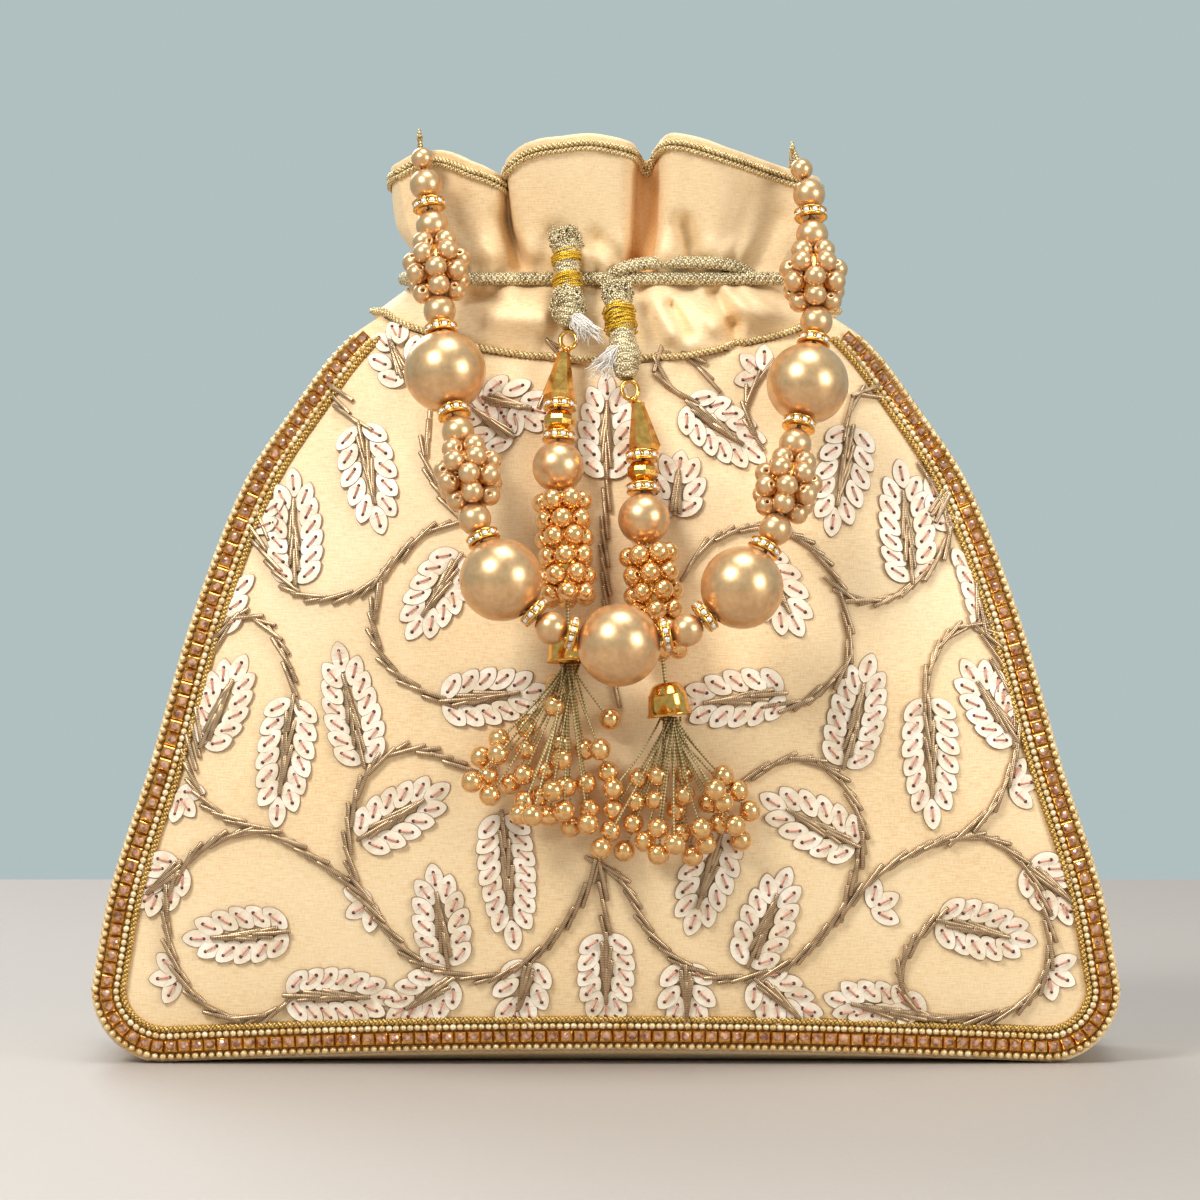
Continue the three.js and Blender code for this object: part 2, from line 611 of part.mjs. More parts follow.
for (const [hand, direction] of [['left', -1], ['right', 1]]) {
	const nameOf = (kind, i) => `handle_${hand}_${kind}_${i}`;
	const from = handleMiddle + direction * LARGE_PEARL;
	thread(handleCurve, HALF_ORDER, from, direction, nameOf, handleStrand);
}
addMesh('handle_strand', union(handleStrand), GOLD);

// Handle loops: cord ends sewn inside the ruffle that come over the hem to the strand
for (const [name, end] of [['left_handle_loop', HANDLE_LEFT_END], ['right_handle_loop', HANDLE_RIGHT_END]]) {
	const inner = end.y + 10;
	const curve = new THREE.CatmullRomCurve3([
		new THREE.Vector3(end.x, inner, end.z - LOOP_DEPTH),
		new THREE.Vector3(end.x, inner, end.z - 5),
		new THREE.Vector3(end.x, inner - 2.5, end.z - 0.5),
		new THREE.Vector3(end.x, end.y + 3.5, end.z + 0.4),
		new THREE.Vector3(end.x, end.y + LOOP_RADIUS, end.z),
	]);
	addMesh(name, rod(curve, LOOP_RADIUS, 8, 6), GOLD);
}

// Tassels: a wrapped cord end at the drawstring, then a hook, a cone, beads, a bell cap and a fringe
const TASSEL_ORDER = ['rondelle', 'faceted', 'rondelle', 'tassel_pearl', 'column'];
const wrapProfile = [
	[0, 0],
	[0.6 * WRAP_RADIUS, 0],
	[WRAP_RADIUS, 0.3 * WRAP_LENGTH],
	[0.9 * WRAP_RADIUS, 0.5 * WRAP_LENGTH],
	[WRAP_RADIUS, 0.7 * WRAP_LENGTH],
	[0.7 * WRAP_RADIUS, WRAP_LENGTH],
	[0, WRAP_LENGTH],
];

// A hollow bell, its mouth at the end of its length
const capProfile = [
	[STRAND_RADIUS + STRAND_CLEARANCE, 0],
	[0.55 * CAP_RADIUS, 0],
	[0.8 * CAP_RADIUS, 0.4 * CAP_LENGTH],
	[CAP_RADIUS, CAP_LENGTH],
	[CAP_RADIUS - CAP_WALL, CAP_LENGTH],
	[0.8 * CAP_RADIUS - CAP_WALL, 0.4 * CAP_LENGTH + CAP_WALL],
	[STRAND_RADIUS + STRAND_CLEARANCE, CAP_WALL],
	[STRAND_RADIUS + STRAND_CLEARANCE, 0],
];

function addTassel(hand, wrapTop, route, fringe) {
	const curve = new THREE.CatmullRomCurve3(route.map((point) => new THREE.Vector3(...point)));
	const hang = curve.getPoint(0);
	const wrapAxis = new THREE.Vector3(...wrapTop).sub(hang).normalize();
	const wrapTurn = new THREE.Quaternion().setFromUnitVectors(new THREE.Vector3(0, 0, 1), wrapAxis);
	const wrap = turned(wrapProfile, 10).applyQuaternion(wrapTurn).translate(hang.x, hang.y, hang.z);
	addMesh(`${hand}_cord_wrap`, wrap, GOLD_THREAD);

	const hookRadius = 1.7;
	const hookDrop = 2 * GAP + hookRadius + HOOK_WIRE;
	const hook = closed(new THREE.TorusGeometry(hookRadius, HOOK_WIRE, 4, 8).rotateX(Math.PI / 2));
	addMesh(`${hand}_hook`, hook.applyMatrix4(frameOn(curve, hookDrop)), GOLD);

	const start = hookDrop + hookRadius + HOOK_WIRE + GAP;
	const coneEnd = start + CONE_LENGTH;
	const coneMiddle = start + CONE_LENGTH / 2;
	addMesh(`${hand}_cone`, turned(PROFILES.cone, 6).applyMatrix4(frameOn(curve, coneMiddle)), GOLD);
	const length = curve.getLength();
	const strand = [rod(stretch(curve, coneEnd + 2 * GAP, length, 9), STRAND_RADIUS, 12, 4)];
	const nameOf = (kind) => `${hand}_${kind}`;
	const reached = thread(curve, TASSEL_ORDER, coneEnd, 1, nameOf, strand);
	const capFrame = frameOn(curve, reached + COLUMN_DROP);
	addMesh(`${hand}_bell_cap`, turned(capProfile, 10).applyMatrix4(capFrame), GOLD);

	const mouth = curve.getPoint(1);
	const fringeParts = [smallBall(FRINGE_KNOT).translate(mouth.x, mouth.y, mouth.z)];
	for (const [x, y, z] of fringe) {
		const end = new THREE.Vector3(x, y, z);
		const belly = new THREE.Vector3(
			0.55 * x + 0.45 * mouth.x,
			0.5 * (y + mouth.y) - 1,
			0.5 * (z + mouth.z),
		);
		const threadCurve = new THREE.QuadraticBezierCurve3(mouth, belly, end);
		fringeParts.push(rod(threadCurve, FRINGE_THREAD, 3, 4), smallBall(FRINGE_BEAD).translate(x, y, z));
	}
	addMesh(`${hand}_fringe`, union([...strand, ...fringeParts]), COPPER_BEAD);
}

addTassel('left', [-9.8, -18.5, 200], [
	[-8.8, -28, 177],
	[-9.6, -31.3, 168],
	[-11, -34.8, 157],
	[-11.4, -40.3, 142.8],
	[-10.6, -44.6, 132],
	[-8.6, -48.2, 112],
	[-9, -49.2, 96],
], [
	[-31, -46, 62], [-26, -46.5, 78], [-23.5, -46.5, 50], [-18, -47, 66],
	[-12.5, -48, 80], [-13, -47, 53], [-6.5, -47, 65], [-3, -47, 51],
]);
addTassel('right', [2.5, -23.4, 187], [
	[5, -33.7, 165],
	[7, -36, 157],
	[8.6, -39, 146],
	[8.8, -42.6, 135.2],
	[10, -46.6, 123],
	[12.6, -48.8, 105],
	[14.4, -49.4, 88],
], [
	[6.5, -47, 56], [11, -47.5, 68], [14, -47, 50], [19, -47, 61],
	[22.5, -47, 72], [25, -47, 51], [30, -46.5, 64], [34, -46, 53],
]);

export default part;
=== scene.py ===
# A potli bag of embroidered silk, dressed over its solids.
# Lengths in this script are millimetres; the mesh makers turn them into metres.
import math
import random

import bpy
import numpy as np
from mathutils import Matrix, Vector
from mathutils.geometry import tessellate_polygon


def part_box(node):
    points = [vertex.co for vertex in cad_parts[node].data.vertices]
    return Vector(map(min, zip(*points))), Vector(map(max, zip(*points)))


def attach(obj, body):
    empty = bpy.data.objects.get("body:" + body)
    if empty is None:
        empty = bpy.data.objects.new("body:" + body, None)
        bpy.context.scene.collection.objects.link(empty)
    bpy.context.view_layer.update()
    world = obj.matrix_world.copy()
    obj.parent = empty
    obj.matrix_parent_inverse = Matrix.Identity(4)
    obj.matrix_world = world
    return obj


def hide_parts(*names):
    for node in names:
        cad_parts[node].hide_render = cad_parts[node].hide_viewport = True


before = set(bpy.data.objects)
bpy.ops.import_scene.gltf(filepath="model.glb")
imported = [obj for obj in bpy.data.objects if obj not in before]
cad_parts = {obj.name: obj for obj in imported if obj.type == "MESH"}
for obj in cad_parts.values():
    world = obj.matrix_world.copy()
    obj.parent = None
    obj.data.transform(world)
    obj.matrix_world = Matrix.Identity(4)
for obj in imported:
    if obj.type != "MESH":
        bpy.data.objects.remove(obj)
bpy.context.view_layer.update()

MM = 0.001
chance = random.Random(7)

# The photograph's frame: 1200 pixels across, measured at the front of the bag
PIXEL = 0.238
MIDDLE_X = 606
FLOOR_Y = 1072
VIEW_RISE = math.radians(2)
VIEW_DISTANCE = 1800
VIEW_PLANE = -45


def photo(px, py):
    return (px - MIDDLE_X) * PIXEL, (FLOOR_Y - py) * PIXEL


# Camera
def add_camera():
    camera = bpy.data.objects.new("camera", bpy.data.cameras.new("camera"))
    bpy.context.collection.objects.link(camera)
    camera.data.lens = camera.data.sensor_width * VIEW_DISTANCE / (1200 * PIXEL)
    x, z = photo(600, 600)
    back = Vector((0, -math.cos(VIEW_RISE), math.sin(VIEW_RISE)))
    camera.location = (Vector((x, VIEW_PLANE, z)) + back * VIEW_DISTANCE) * MM
    camera.rotation_euler = (math.pi / 2 - VIEW_RISE, 0, 0)
    bpy.context.scene.camera = camera


add_camera()


# Materials
def rgb(red, green, blue):
    def linear(level):
        level /= 255
        return level / 12.92 if level <= 0.04045 else ((level + 0.055) / 1.055) ** 2.4
    return linear(red), linear(green), linear(blue), 1


class Finish:
    """A node material, built up from colour, relief and roughness."""

    def __init__(self, name, **sockets):
        self.material = bpy.data.materials.new(name)
        self.material.use_nodes = True
        self.tree = self.material.node_tree
        self.shader = self.tree.nodes["Principled BSDF"]
        self.relief = None
        for socket, value in sockets.items():
            self.shader.inputs[socket.replace("_", " ")].default_value = value

    def node(self, kind, **settings):
        node = self.tree.nodes.new("ShaderNode" + kind)
        for key, value in settings.items():
            setattr(node, key, value)
        return node

    def link(self, source, target):
        self.tree.links.new(source, target)

    def coordinates(self, stretch, source="UV"):
        mapping = self.node("Mapping")
        mapping.inputs["Scale"].default_value = stretch
        self.link(self.node("TexCoord").outputs[source], mapping.inputs["Vector"])
        return mapping.outputs["Vector"]

    def noise(self, stretch, detail=2, source="UV"):
        node = self.node("TexNoise")
        node.inputs["Scale"].default_value = 1
        node.inputs["Detail"].default_value = detail
        self.link(self.coordinates(stretch, source), node.inputs["Vector"])
        return node.outputs["Fac"]

    def ribs(self, pitch, direction="Y", distortion=0.0):
        """Ribs across the UV direction, pitch in UV units."""
        node = self.node("TexWave", wave_type="BANDS", bands_direction=direction)
        node.inputs["Scale"].default_value = math.pi / 10 / pitch
        node.inputs["Distortion"].default_value = distortion
        self.link(self.node("TexCoord").outputs["UV"], node.inputs["Vector"])
        return node.outputs["Fac"]

    def math(self, operation, a, b):
        node = self.node("Math", operation=operation)
        for socket, value in zip(node.inputs, (a, b)):
            if isinstance(value, (int, float)):
                socket.default_value = value
            else:
                self.link(value, socket)
        return node.outputs[0]

    def mean(self, a, b):
        return self.math("MULTIPLY", self.math("ADD", a, b), 0.5)

    def colour(self, factor, *stops):
        """stops are (place, colour) pairs."""
        ramp = self.node("ValToRGB")
        elements = ramp.color_ramp.elements
        while len(elements) < len(stops):
            elements.new(0.5)
        for element, (place, colour) in zip(elements, stops):
            element.position = place
            element.color = colour
        self.link(factor, ramp.inputs["Fac"])
        self.link(ramp.outputs["Color"], self.shader.inputs["Base Color"])
        return self

    def bump(self, height, distance, strength=1.0):
        """distance in millimetres"""
        node = self.node("Bump")
        node.inputs["Distance"].default_value = distance * MM
        node.inputs["Strength"].default_value = strength
        self.link(height, node.inputs["Height"])
        if self.relief:
            self.link(self.relief, node.inputs["Normal"])
        self.relief = node.outputs["Normal"]
        self.link(self.relief, self.shader.inputs["Normal"])
        return self

    def roughness(self, factor, low, high):
        spread = self.node("MapRange")
        spread.inputs["To Min"].default_value = low
        spread.inputs["To Max"].default_value = high
        self.link(factor, spread.inputs["Value"])
        self.link(spread.outputs["Result"], self.shader.inputs["Roughness"])
        return self


def silk_finish():
    cloth = Finish("silk", Sheen_Weight=0.06, Sheen_Roughness=0.4, Specular_IOR_Level=0.3)
    weft = cloth.noise((5, 38, 1), 3)
    warp = cloth.noise((38, 6, 1), 3)
    slubs = cloth.noise((3, 30, 1), 2)
    tone = cloth.noise((0.16, 0.2, 1), 3)
    weave = cloth.mean(weft, warp)
    cloth.colour(
        cloth.mean(cloth.mean(weave, slubs), cloth.mean(weave, tone)),
        (0.36, rgb(228, 188, 136)), (0.5, rgb(243, 215, 168)), (0.64, rgb(251, 231, 194)),
    )
    cloth.bump(slubs, 0.05, 0.3).bump(weave, 0.14, 0.6)
    return cloth.roughness(weave, 0.4, 0.6).material


def satin_finish():
    cloth = Finish("satin", Sheen_Weight=0.2, Specular_IOR_Level=0.6)
    threads = cloth.noise((34, 14, 1), 2)
    pools = cloth.noise((1.1, 0.9, 1), 3)
    cloth.colour(cloth.mean(threads, pools), (0.34, rgb(220, 158, 94)), (0.66, rgb(248, 204, 142)))
    cloth.bump(pools, 0.7, 0.5).bump(threads, 0.04, 0.4)
    return cloth.roughness(threads, 0.24, 0.4).material


def solid_finish(name, dark, light, size, relief, roughness, **sockets):
    """A finish that varies in itself: size is the spots' size in mm, relief their height."""
    surface = Finish(name, **sockets)
    spots = surface.noise((1 / size / MM,) * 3, 3, "Object")
    surface.colour(spots, (0.35, dark), (0.65, light))
    return surface.bump(spots, relief, 0.5).roughness(spots, *roughness)


def ribbed_finish(name, dark, light, pitch, relief, roughness, **sockets):
    """Wound wire or twisted thread: ribs across each strand, with painted shade in the grooves between turns.
    """
    surface = Finish(name, **sockets)
    ribs = surface.ribs(pitch / 10)
    grain = surface.noise((400, 400, 400), 2, "Object")
    # Colour follows the ribs mixed with random grain: the grooves between turns are painted dark as shade and
    # the ridges are painted light.
    surface.colour(surface.mean(ribs, grain), (0.2, dark), (0.72, light))
    return surface.bump(ribs, relief, 0.7).roughness(grain, *roughness).material


SILK = silk_finish()
SATIN = satin_finish()
# These wire and thread finishes paint shade into the grooves of their ribs.
COIL = ribbed_finish(
    "antique_coil", rgb(110, 82, 56), rgb(214, 184, 146), 0.42, 0.02, (0.24, 0.34), Metallic=0.7)
ZARI = ribbed_finish(
    "zari_cord", rgb(150, 108, 44), rgb(226, 190, 112), 0.5, 0.1, (0.28, 0.4), Metallic=0.7)
METAL_CORD = ribbed_finish(
    "metallic_cord", rgb(128, 104, 60), rgb(248, 234, 194), 0.6, 0.14, (0.22, 0.42), Metallic=0.5)
BRAID = ribbed_finish(
    "metallic_braid", rgb(178, 142, 82), rgb(246, 226, 174), 0.5, 0.1, (0.28, 0.45), Metallic=0.5)
GOLD_THREAD = ribbed_finish(
    "gold_thread", rgb(176, 128, 18), rgb(246, 206, 66), 0.5, 0.05, (0.25, 0.4), Metallic=0.6)
WHITE_THREAD = ribbed_finish(
    "white_thread", rgb(222, 214, 200), rgb(250, 247, 240), 0.7, 0.05, (0.7, 0.85), Sheen_Weight=0.3)
TASSEL_THREAD = ribbed_finish(
    "tassel_thread", rgb(128, 104, 58), rgb(222, 200, 146), 0.8, 0.08, (0.3, 0.45), Metallic=0.6)
PEARL = solid_finish(
    "champagne_pearl", rgb(216, 172, 122), rgb(228, 186, 137), 1.6, 0.008, (0.27, 0.34),
    Metallic=0.8, Coat_Weight=0.2, Coat_Roughness=0.16).material
COPPER = solid_finish(
    "copper_pearl", rgb(228, 174, 107), rgb(246, 200, 136), 1.2, 0.008, (0.15, 0.22),
    Metallic=0.85, Coat_Weight=0.35, Coat_Roughness=0.08).material
GOLD = solid_finish(
    "gold_plate", rgb(222, 160, 76), rgb(240, 190, 104), 1.5, 0.02, (0.1, 0.2), Metallic=1).material
CRYSTAL = solid_finish(
    "crystal", rgb(206, 212, 216), rgb(252, 253, 255), 0.8, 0.004, (0.03, 0.1),
    Metallic=0.35, Coat_Weight=1, Coat_Roughness=0.02).material
ROSE_STONE = solid_finish(
    "rose_stone", rgb(128, 78, 56), rgb(232, 182, 150), 1.3, 0.004, (0.04, 0.12),
    Metallic=0.35, Coat_Weight=1, Coat_Roughness=0.03).material
SEED = solid_finish(
    "seed_bead", rgb(206, 158, 84), rgb(250, 226, 170), 2.2, 0.01, (0.14, 0.26),
    Metallic=0.3, Coat_Weight=0.7, Coat_Roughness=0.06).material
PALE_SEED = solid_finish(
    "pale_seed_bead", rgb(214, 172, 100), rgb(252, 236, 194), 2.2, 0.01, (0.14, 0.26),
    Metallic=0.25, Coat_Weight=0.7, Coat_Roughness=0.06).material
SEQUIN = solid_finish(
    "sequin", rgb(234, 216, 186), rgb(252, 242, 222), 6, 0.03, (0.34, 0.5),
    Coat_Weight=0.15, Coat_Roughness=0.25).material
# Painted shade: a dark brown for the sequins' side walls, standing for the thin shadow round each sequin.
SEQUIN_EDGE_SHADE = solid_finish(
    "sequin_edge_shade", rgb(138, 108, 84), rgb(176, 144, 116), 2, 0.02, (0.5, 0.6)).material
STITCH = solid_finish(
    "rose_thread", rgb(200, 124, 102), rgb(230, 166, 140), 0.5, 0.05, (0.55, 0.7)).material
# Painted shade: the knots in the sequin holes are coloured much darker than the rose thread, standing for the
# shade inside the holes.
KNOT_HOLE_SHADE = solid_finish(
    "knot_hole_shade", rgb(70, 34, 28), rgb(108, 58, 46), 0.4, 0.05, (0.6, 0.75)).material
TAPE = solid_finish(
    "trim_tape", rgb(146, 98, 36), rgb(204, 152, 74), 0.5, 0.08, (0.45, 0.6), Metallic=0.3).material
FLOOR = solid_finish("floor", rgb(170, 162, 154), rgb(173, 165, 157), 2, 0.01, (0.55, 0.62)).material


# Mesh makers. A form is a list of points, a list of faces and UVs for the points (1 unit is 10 mm).
class Form:
    def __init__(self, points, faces, uvs=None):
        self.points = np.asarray(points, float)
        self.faces = faces
        self.uvs = np.zeros((len(self.points), 2)) if uvs is None else np.asarray(uvs, float)


class Heap:
    """Many small forms that become one mesh."""

    def __init__(self):
        self.points, self.uvs, self.faces, self.marks = [], [], [], []
        self.count = 0

    def add(self, form, place=None, mark=0):
        points = form.points if place is None else form.points @ place[:3, :3].T + place[:3, 3]
        self.points.append(points)
        self.uvs.append(form.uvs)
        self.faces += [[i + self.count for i in face] for face in form.faces]
        self.marks += [mark] * len(form.faces)
        self.count += len(points)

    def form(self):
        return Form(np.concatenate(self.points), self.faces, np.concatenate(self.uvs))


def add_piece(name, form, materials, body, stands_for=(), marks=None, is_flat=False):
    mesh = bpy.data.meshes.new(name)
    mesh.from_pydata((form.points * MM).tolist(), [], form.faces)
    layer = mesh.uv_layers.new(name="UVMap")
    corners = np.empty(len(mesh.loops), int)
    mesh.loops.foreach_get("vertex_index", corners)
    layer.data.foreach_set("uv", form.uvs[corners].astype(np.float32).ravel())
    for material in materials:
        mesh.materials.append(material)
    if marks is not None:
        mesh.polygons.foreach_set("material_index", marks)
    mesh.polygons.foreach_set("use_smooth", [not is_flat] * len(mesh.polygons))
    piece = bpy.data.objects.new(name, mesh)
    bpy.context.collection.objects.link(piece)
    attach(piece, body)
    if stands_for:
        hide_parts(*stands_for)
    return piece


def add_heap(name, heap, materials, body, stands_for=(), is_flat=False):
    return add_piece(name, heap.form(), materials, body, stands_for, heap.marks, is_flat)


def unit(vector):
    vector = np.asarray(vector, float)
    return vector / np.linalg.norm(vector, axis=-1, keepdims=True)


def placed(at, axis, out=(0, -1, 0), size=(1, 1, 1)):
    """A form's Z along axis, its Y towards out."""
    along = unit(axis)
    across = np.cross(out, along)
    if np.linalg.norm(across) < 1e-6:
        across = np.cross((1, 0, 0.1), along)
    across = unit(across)
    place = np.eye(4)
    place[:3, 0] = across * size[0]
    place[:3, 1] = np.cross(along, across) * size[1]
    place[:3, 2] = along * size[2]
    place[:3, 3] = at
    return place


def grid(columns, rows, place, is_ring=False):
    """place(u, v) takes arrays from 0 to 1 and gives points and UVs."""
    u, v = np.meshgrid(np.arange(columns + 1) / columns, np.arange(rows + 1) / rows)
    if is_ring:
        u, v = u[:, :-1], v[:, :-1]
    points, uvs = place(u, v)
    width = u.shape[1]
    faces = []
    for row in range(rows):
        for column in range(columns):
            a, b = row * width + column, row * width + (column + 1) % width
            faces.append([a, b, b + width, a + width])
    return Form(points.reshape(-1, 3), faces, uvs.reshape(-1, 2))


def turned(profile, sides, is_loop=False):
    """(radius, height) pairs turned about Z; a radius of 0 is a tip, and other ends are capped."""
    points, rings = [], []
    for radius, height in profile:
        first = len(points)
        if radius == 0:
            points.append((0, 0, height))
            rings.append([first] * sides)
            continue
        turns = [2 * math.pi * side / sides for side in range(sides)]
        points += [(radius * math.cos(turn), radius * math.sin(turn), height) for turn in turns]
        rings.append(list(range(first, first + sides)))
    if is_loop:
        rings.append(rings[0])
    faces = []
    for low, high in zip(rings, rings[1:]):
        for side in range(sides):
            after = (side + 1) % sides
            face = [low[side], low[after], high[after], high[side]]
            faces.append([corner for i, corner in enumerate(face) if corner != face[i - 1]])
    if not is_loop:
        if rings[0][0] != rings[0][1]:
            faces.append(rings[0][::-1])
        if rings[-1][0] != rings[-1][1]:
            faces.append(rings[-1])
    points = np.array(points)
    uvs = np.stack([np.arctan2(points[:, 1], points[:, 0]) / 6.3, points[:, 2] / 10], 1)
    return Form(points, faces, uvs)


def ball(radius, sides, rows):
    turns = [math.pi * row / rows for row in range(rows + 1)]
    profile = [(radius * math.sin(turn), -radius * math.cos(turn)) for turn in turns]
    profile[0], profile[-1] = (0, -radius), (0, radius)
    return turned(profile, sides)


def bored(radius, bore, sides, rows):
    start = math.asin(bore / radius)
    turns = [start + (math.pi - 2 * start) * row / rows for row in range(rows + 1)]
    outside = [(radius * math.sin(turn), -radius * math.cos(turn)) for turn in turns]
    edge = outside[-1][1] - 0.25
    return turned([(bore - 0.2, -edge), *outside, (bore - 0.2, edge)], sides, True)


def frames(line, is_ring=False):
    """Tangents and turning-free sides along a line of points."""
    ahead = np.roll(line, -1, 0) - np.roll(line, 1, 0) if is_ring else np.gradient(line, axis=0)
    tangents = unit(ahead)
    side = np.cross(tangents[0], (0, 0, 1) if abs(tangents[0][2]) < 0.9 else (1, 0, 0))
    sides = []
    for tangent in tangents:
        side = unit(side - tangent * np.dot(side, tangent))
        sides.append(side)
    sides = np.array(sides)
    return tangents, sides, np.cross(tangents, sides)


def tube(line, radius, sides=6, is_ring=False):
    line = np.asarray(line, float)
    _, across, up = frames(line, is_ring)
    turns = 2 * np.pi * np.arange(sides) / sides
    radii = np.broadcast_to(radius, len(line))
    round_ = np.cos(turns)[None, :, None] * across[:, None] + np.sin(turns)[None, :, None] * up[:, None]
    points = line[:, None] + radii[:, None, None] * round_
    steps = np.concatenate([[0], np.cumsum(np.linalg.norm(np.diff(line, axis=0), axis=1))]) / 10
    uvs = np.stack(np.broadcast_arrays(turns[None] / 6.3, steps[:, None]), -1)
    faces = []
    last = len(line) if is_ring else len(line) - 1
    for row in range(last):
        after_row = (row + 1) % len(line)
        for side in range(sides):
            after = (side + 1) % sides
            low, high = row * sides, after_row * sides
            faces.append([low + side, low + after, high + after, high + side])
    if not is_ring:
        faces.append(list(range(sides))[::-1])
        faces.append(list(range((len(line) - 1) * sides, len(line) * sides)))
    return Form(points.reshape(-1, 3), faces, uvs.reshape(-1, 2))


def curve(stations, count):
    """A smooth line of evenly spaced points through stations."""
    stations = np.asarray(stations, float)
    points = np.concatenate([[2 * stations[0] - stations[1]], stations, [2 * stations[-1] - stations[-2]]])
    t = np.linspace(0, 1, 12, endpoint=False)[:, None]
    spans = []
    for a, b, c, d in zip(points, points[1:], points[2:], points[3:]):
        square, cube = 2 * a - 5 * b + 4 * c - d, 3 * b - a - 3 * c + d
        spans.append(0.5 * (2 * b + (c - a) * t + square * t ** 2 + cube * t ** 3))
    return evenly(np.concatenate([*spans, stations[-1:]]), count)


def evenly(line, count):
    steps = np.concatenate([[0], np.cumsum(np.linalg.norm(np.diff(line, axis=0), axis=1))])
    places = np.linspace(0, steps[-1], count)
    return np.stack([np.interp(places, steps, line[:, axis]) for axis in range(line.shape[1])], 1)


def length_of(line):
    return np.linalg.norm(np.diff(line, axis=0), axis=1).sum()


def wound(heap, line, reach, pitch, strands, thickness, sides=5, mark=0, is_ring=False, hand=1):
    """Strands wound about a line, as in twisted or knitted cord."""
    length = length_of(line)
    rounds = max(round(length / pitch), 1)
    count = max(int(length / pitch * 9), 12)
    fine = evenly(np.concatenate([line, line[:1]]) if is_ring else line, count + 1)
    if is_ring:
        fine = fine[:-1]
    _, across, up = frames(fine, is_ring)
    given = np.atleast_1d(reach)
    reaches = np.interp(np.linspace(0, 1, len(fine)), np.linspace(0, 1, len(given)), given)
    for strand in range(strands):
        turns = hand * 2 * np.pi * (rounds * np.arange(len(fine)) / count + strand / strands)
        path = fine + reaches[:, None] * (np.cos(turns)[:, None] * across + np.sin(turns)[:, None] * up)
        heap.add(tube(path, thickness, sides, is_ring), mark=mark)


# The bag's form, as in the solids
HALF_WIDTH = 124
CORNER = 18
SEAM_HALF_WIDTH = 64
NECK_HALF_WIDTH = 43
MOUTH_HALF_WIDTH = 51.5
BELLY_DEPTH = 42
BASE_DEPTH = 29
SEAM_DEPTH = 23.5
NECK_DEPTH = 14
MOUTH_DEPTH = 18
GUSSET_DEPTH = 26
GUSSET_NECK_DEPTH = 7
SEAM_HEIGHT = 168
SEAM_RISE = 12
CORD_HEIGHT = 189
HEM_HEIGHT = 222
CLOTH = 1.1
LINING_INSET = 5.5  # from the panels' sides
LINING_GAP = 2.4  # from the panels' faces
LINING_FLOOR = 4.6
TRIM_STAND = 0.6
TRIM_WIDTH = 8.4
SIDE_SEAM_HEIGHT = SEAM_HEIGHT + SEAM_RISE
TRIM_TOP = SIDE_SEAM_HEIGHT - 5.5


def through(stations):
    place, value = np.array(stations, float).T
    slope = np.empty_like(value)
    slope[1:-1] = (value[2:] - value[:-2]) / (place[2:] - place[:-2])
    slope[0] = (value[1] - value[0]) / (place[1] - place[0])
    slope[-1] = (value[-1] - value[-2]) / (place[-1] - place[-2])

    def at(x):
        x = np.clip(x, place[0], place[-1])
        i = np.clip(np.searchsorted(place, x, side="right") - 1, 0, len(place) - 2)
        span = place[i + 1] - place[i]
        t = (x - place[i]) / span
        return (value[i] * (1 + 2 * t) * (1 - t) ** 2 + value[i + 1] * t * t * (3 - 2 * t)
                + slope[i] * span * t * (1 - t) ** 2 - slope[i + 1] * span * t * t * (1 - t))
    return at


width_above = through([
    (CORNER, HALF_WIDTH), (0.25 * SEAM_HEIGHT, 0.963 * HALF_WIDTH), (0.43 * SEAM_HEIGHT, 0.885 * HALF_WIDTH),
    (0.64 * SEAM_HEIGHT, 0.805 * HALF_WIDTH), (0.83 * SEAM_HEIGHT, 0.707 * HALF_WIDTH),
    (0.94 * SEAM_HEIGHT, 0.29 * HALF_WIDTH + 0.62 * SEAM_HALF_WIDTH),
    (SIDE_SEAM_HEIGHT - 6, SEAM_HALF_WIDTH - 1), (CORD_HEIGHT, NECK_HALF_WIDTH),
    (CORD_HEIGHT + 0.4 * (HEM_HEIGHT - CORD_HEIGHT), 0.5 * (NECK_HALF_WIDTH + MOUTH_HALF_WIDTH) + 1),
    (HEM_HEIGHT, MOUTH_HALF_WIDTH),
])
panel_depth = through([
    (0, BASE_DEPTH), (0.12 * SEAM_HEIGHT, 0.6 * BASE_DEPTH + 0.43 * BELLY_DEPTH),
    (0.3 * SEAM_HEIGHT, 0.97 * BELLY_DEPTH), (0.45 * SEAM_HEIGHT, BELLY_DEPTH),
    (0.65 * SEAM_HEIGHT, 0.94 * BELLY_DEPTH), (0.85 * SEAM_HEIGHT, 0.79 * BELLY_DEPTH),
    (SEAM_HEIGHT, SEAM_DEPTH + 1.5),
    (0.5 * (SEAM_HEIGHT + CORD_HEIGHT), 0.5 * (SEAM_DEPTH + NECK_DEPTH) + 2),
    (CORD_HEIGHT, NECK_DEPTH), (HEM_HEIGHT, MOUTH_DEPTH),
])
gusset_depth = through([
    (0, GUSSET_DEPTH), (0.45 * SEAM_HEIGHT, GUSSET_DEPTH), (0.85 * SEAM_HEIGHT, 0.5 * GUSSET_DEPTH),
    (SIDE_SEAM_HEIGHT, GUSSET_NECK_DEPTH + 1), (HEM_HEIGHT, GUSSET_NECK_DEPTH),
])


def half_width(height):
    height = np.asarray(height, float)
    under = CORNER - np.minimum(height, CORNER)
    low = HALF_WIDTH - CORNER + np.sqrt(np.maximum(CORNER ** 2 - under ** 2, 0))
    return np.where(height < CORNER, low, width_above(height))


def bulge(side):
    return 1 - np.minimum(np.abs(side), 1) ** 2.4


